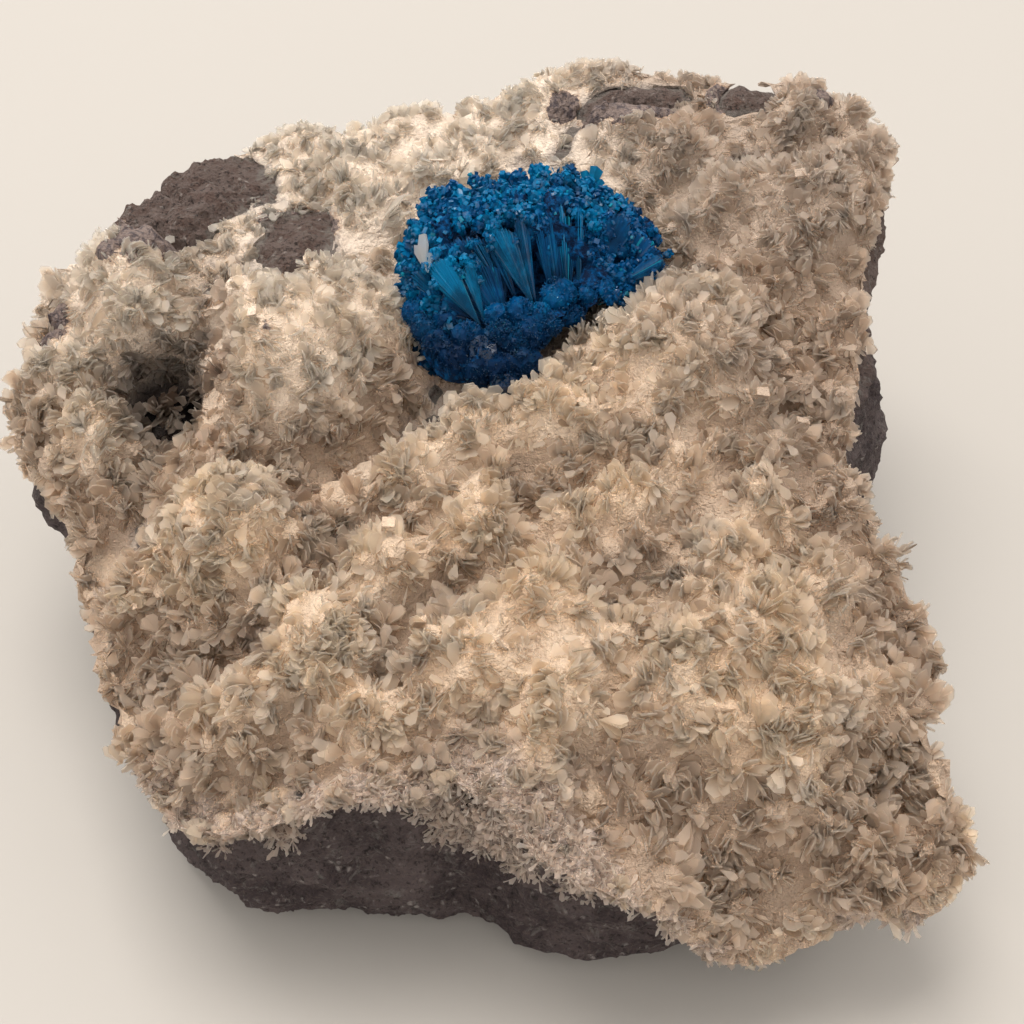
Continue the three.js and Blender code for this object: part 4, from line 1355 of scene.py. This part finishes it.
def grainsOn(middle, way, radius, tone, random):
    # a short fur of grains on the buttons
    area = 12.6 * radius ** 2  # the surface of a ball
    number = (blue["grainsPerArea"] * area).astype(int)
    owner = np.arange(len(middle)).repeat(number)
    out = unit(random.normal(size=(len(owner), 3)))
    seen = out @ fanBack < 0.35
    owner, out = owner[seen], out[seen]
    count = len(owner)
    size = random.uniform(0.2, 0.42, count)
    reach = radius[owner] * random.uniform(0.92, 1.10, count) - size * 0.5
    return (middle[owner] + out * reach[:, None], leaning(out, random.uniform(0, 0.8, count), random), size,
            random.uniform(0.04, 0.08, count), tone[owner] + random.uniform(-0.15, 0.25, count))


def roundCores(middle, way, radius, level, random):
    # the lumpy ball inside every head, drawn out along its way
    ball = bmesh.new()
    bmesh.ops.create_icosphere(ball, subdivisions=level, radius=1)
    shape = np.array([corner.co[:] for corner in ball.verts])
    faces = np.array([[corner.index for corner in face.verts] for face in ball.faces])
    ball.free()
    count, each = len(middle), len(shape)
    place = np.tile(shape, (count, 1)) * 1.3 + middle.repeat(each, axis=0) * 3
    lumpy = 1 + 0.22 * softNoise(place, 1.0, 91) + random.uniform(-0.11, 0.11, count * each)
    corners = np.tile(shape, (count, 1)) * (lumpy * radius.repeat(each))[:, None]
    along = way.repeat(each, axis=0)
    corners += along * (0.35 * np.sum(corners * along, axis=1))[:, None]
    faces = np.arange(count)[:, None, None] * each + faces
    return corners + middle.repeat(each, axis=0), faces.reshape(-1, 3)


def crownsOf(blades, random):
    # grains on the tip of every inner blade
    root, along, _, length, _, _, tone = blades
    owner = np.arange(len(root)).repeat(blue["grainsOnBlade"])
    count = len(owner)
    back = length[owner] - random.uniform(0.25, 0.8, count)
    middle = root[owner] + along[owner] * back[:, None] + random.normal(0, 0.14, (count, 3))
    way = leaning(along[owner], 1.1 * np.sqrt(random.random(count)), random)
    return (middle, way, random.uniform(0.35, 0.85, count), random.uniform(0.04, 0.10, count),
            tone[owner] * 0.5 + random.random(count) * 0.5)


def loneCrystals(random):
    # the clear crystal at the back and the needles at the foot
    along = fanWay(np.array([8.0, 4.0, 10.0]), np.array([72.0, 96.0, 50.0]))
    clear = (np.repeat(fromRoot(*blue["clearCrystal"])[None], 3, axis=0), along, squareTo(along, random),
             np.array([2.3, 1.9, 1.7]), np.array([0.42, 0.30, 0.26]), np.array([0.3, 0.25, 0.2]),
             np.array([0.8, 0.6, 0.7]))
    place, way, count = blue["needles"]
    way = leaning(np.repeat(unit(np.array([way])), count, axis=0), random.uniform(0, 0.7, count), random)
    needles = (np.array(place) + random.normal(0, 0.25, (count, 3)), way, random.uniform(0.7, 1.8, count),
               random.uniform(0.02, 0.04, count), np.full(count, 1.0))
    return clear, needles


def makeCavansite(finish):
    random = chance(blue["seed"])
    brightBlades, brightGrains = blue["brightShare"]
    inner = [innerSheaves(blue[name], random) for name in ("leftFan", "rightFan", "sideBall")]
    inner = tuple(np.concatenate(part) for part in zip(*inner))
    tufts = tuple(np.concatenate(pair) for pair in zip(coatTufts(random), crestTufts(random)))
    tuftBlades, heads = growTufts(*tufts, random)
    *places, radius = zip(*blue["buttons"])
    buttons = (np.array([fromRoot(*place) for place in zip(*places)]), np.zeros((len(radius), 3)),
               0.9 * np.array(radius), random.uniform(0.0, 0.3, len(radius)))
    clear, needles = loneCrystals(random)
    blades = tuple(np.concatenate(part) for part in zip(inner, smoothFronts(random), tuftBlades, clear))
    grains = [crownsOf(inner, random), grainsOn(*buttons, random), needles]
    grains = tuple(np.concatenate(part) for part in zip(*grains))
    pieces = []

    bristles = bristlesOn(*heads, random)
    for name, parts, known in (("Blades", blades, len(clear[0])), ("Bristles", bristles, 0)):
        corners, quads, tips = blueBlades(*parts[:6], random)
        # a few blades carry a painted glint; the clear crystal gets a small share of the cyan
        bright = np.where(random.random(len(parts[6])) < brightBlades, 0.7, 0.0)
        bright[len(bright) - known:] = 0.1
        values = [(label, np.concatenate([value.repeat(5), value.repeat(4)]))
                  for label, value in (("own", parts[6]), ("bright", bright))]
        ends = np.tile(np.array([0.0] * 4 + [0.8] * 4 + [1.0]), len(bright))
        pieces.append(meshFrom("cavansite" + name, corners, (quads, tips), finish, values, [("tip", ends)]))

    corners, faces = blueGrains(*grains[:4], random)
    # a few grains carry a painted glint; the needles get a large share of the same cyan
    bright = np.where(random.random(len(grains[4])) < brightGrains, 0.7, 0.0)
    bright[-len(needles[0]):] = 0.9
    values = [("own", grains[4].repeat(8)), ("bright", bright.repeat(8))]
    ends = np.tile(np.array([0.2] + [0.8] * 4 + [1.0]), len(bright))
    pieces.append(meshFrom("cavansiteGrains", corners, (faces,), finish, values, [("tip", ends)]))

    # the lumpy cores: share of the radius, fineness
    for name, parts, share, level in (("Tufts", heads, 0.82, 2), ("Buttons", buttons, 1, 3)):
        middle, way, radius, tone = parts
        corners, faces = roundCores(middle, way, share * radius, level, random)
        each = len(faces) // len(middle)
        values = [("own", tone.repeat(each)), ("bright", np.zeros(len(faces)))]
        ends = random.uniform(0.1, 0.8, len(corners))
        pieces.append(meshFrom("cavansite" + name, corners, (faces,), finish, values, [("tip", ends)]))
    for piece in pieces:
        print(piece.name + ":", triangleCount(piece), "triangles")
    return pieces


def floorFinish():
    paper = Finish("studioFloor", Roughness=studio["floorRoughness"])
    drift = paper.noise(paper.place(), 0.01, 2, 0.5)
    pale = studio["floorColour"]
    share, darker = studio["floorDrift"]
    dusty = tuple(darker * value for value in pale)
    paper.feed("Base Color", paper.mix(drift * share, pale, dusty))
    return paper


def addFloor():
    half = studio["floorWidth"] / 2
    corners = [(-half, -half, 0), (half, -half, 0), (half, half, 0), (-half, half, 0)]
    meshFrom("studioFloor", corners, (np.array([(0, 1, 2, 3)]),), floorFinish())


addCamera()
addLights()
addFloor()
print("studio ready")

rock = makeBasalt(searchTree(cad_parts["stilbite_crust"].data))
crustPieces = makeCrust(rock)
bluePieces = [makeBlueCore(), *makeCavansite(blueFinish())]

for pieces, node, slot in (((rock,), "basalt_matrix", "basalt"),
                           (crustPieces, "stilbite_crust", "stilbite"),
                           (bluePieces, "cavansite_cluster", "cavansite")):
    for piece in pieces:
        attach(piece, "root")
        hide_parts(node)

print("triangles in all:", sum(triangleCount(piece) for piece in (rock, *crustPieces, *bluePieces)))
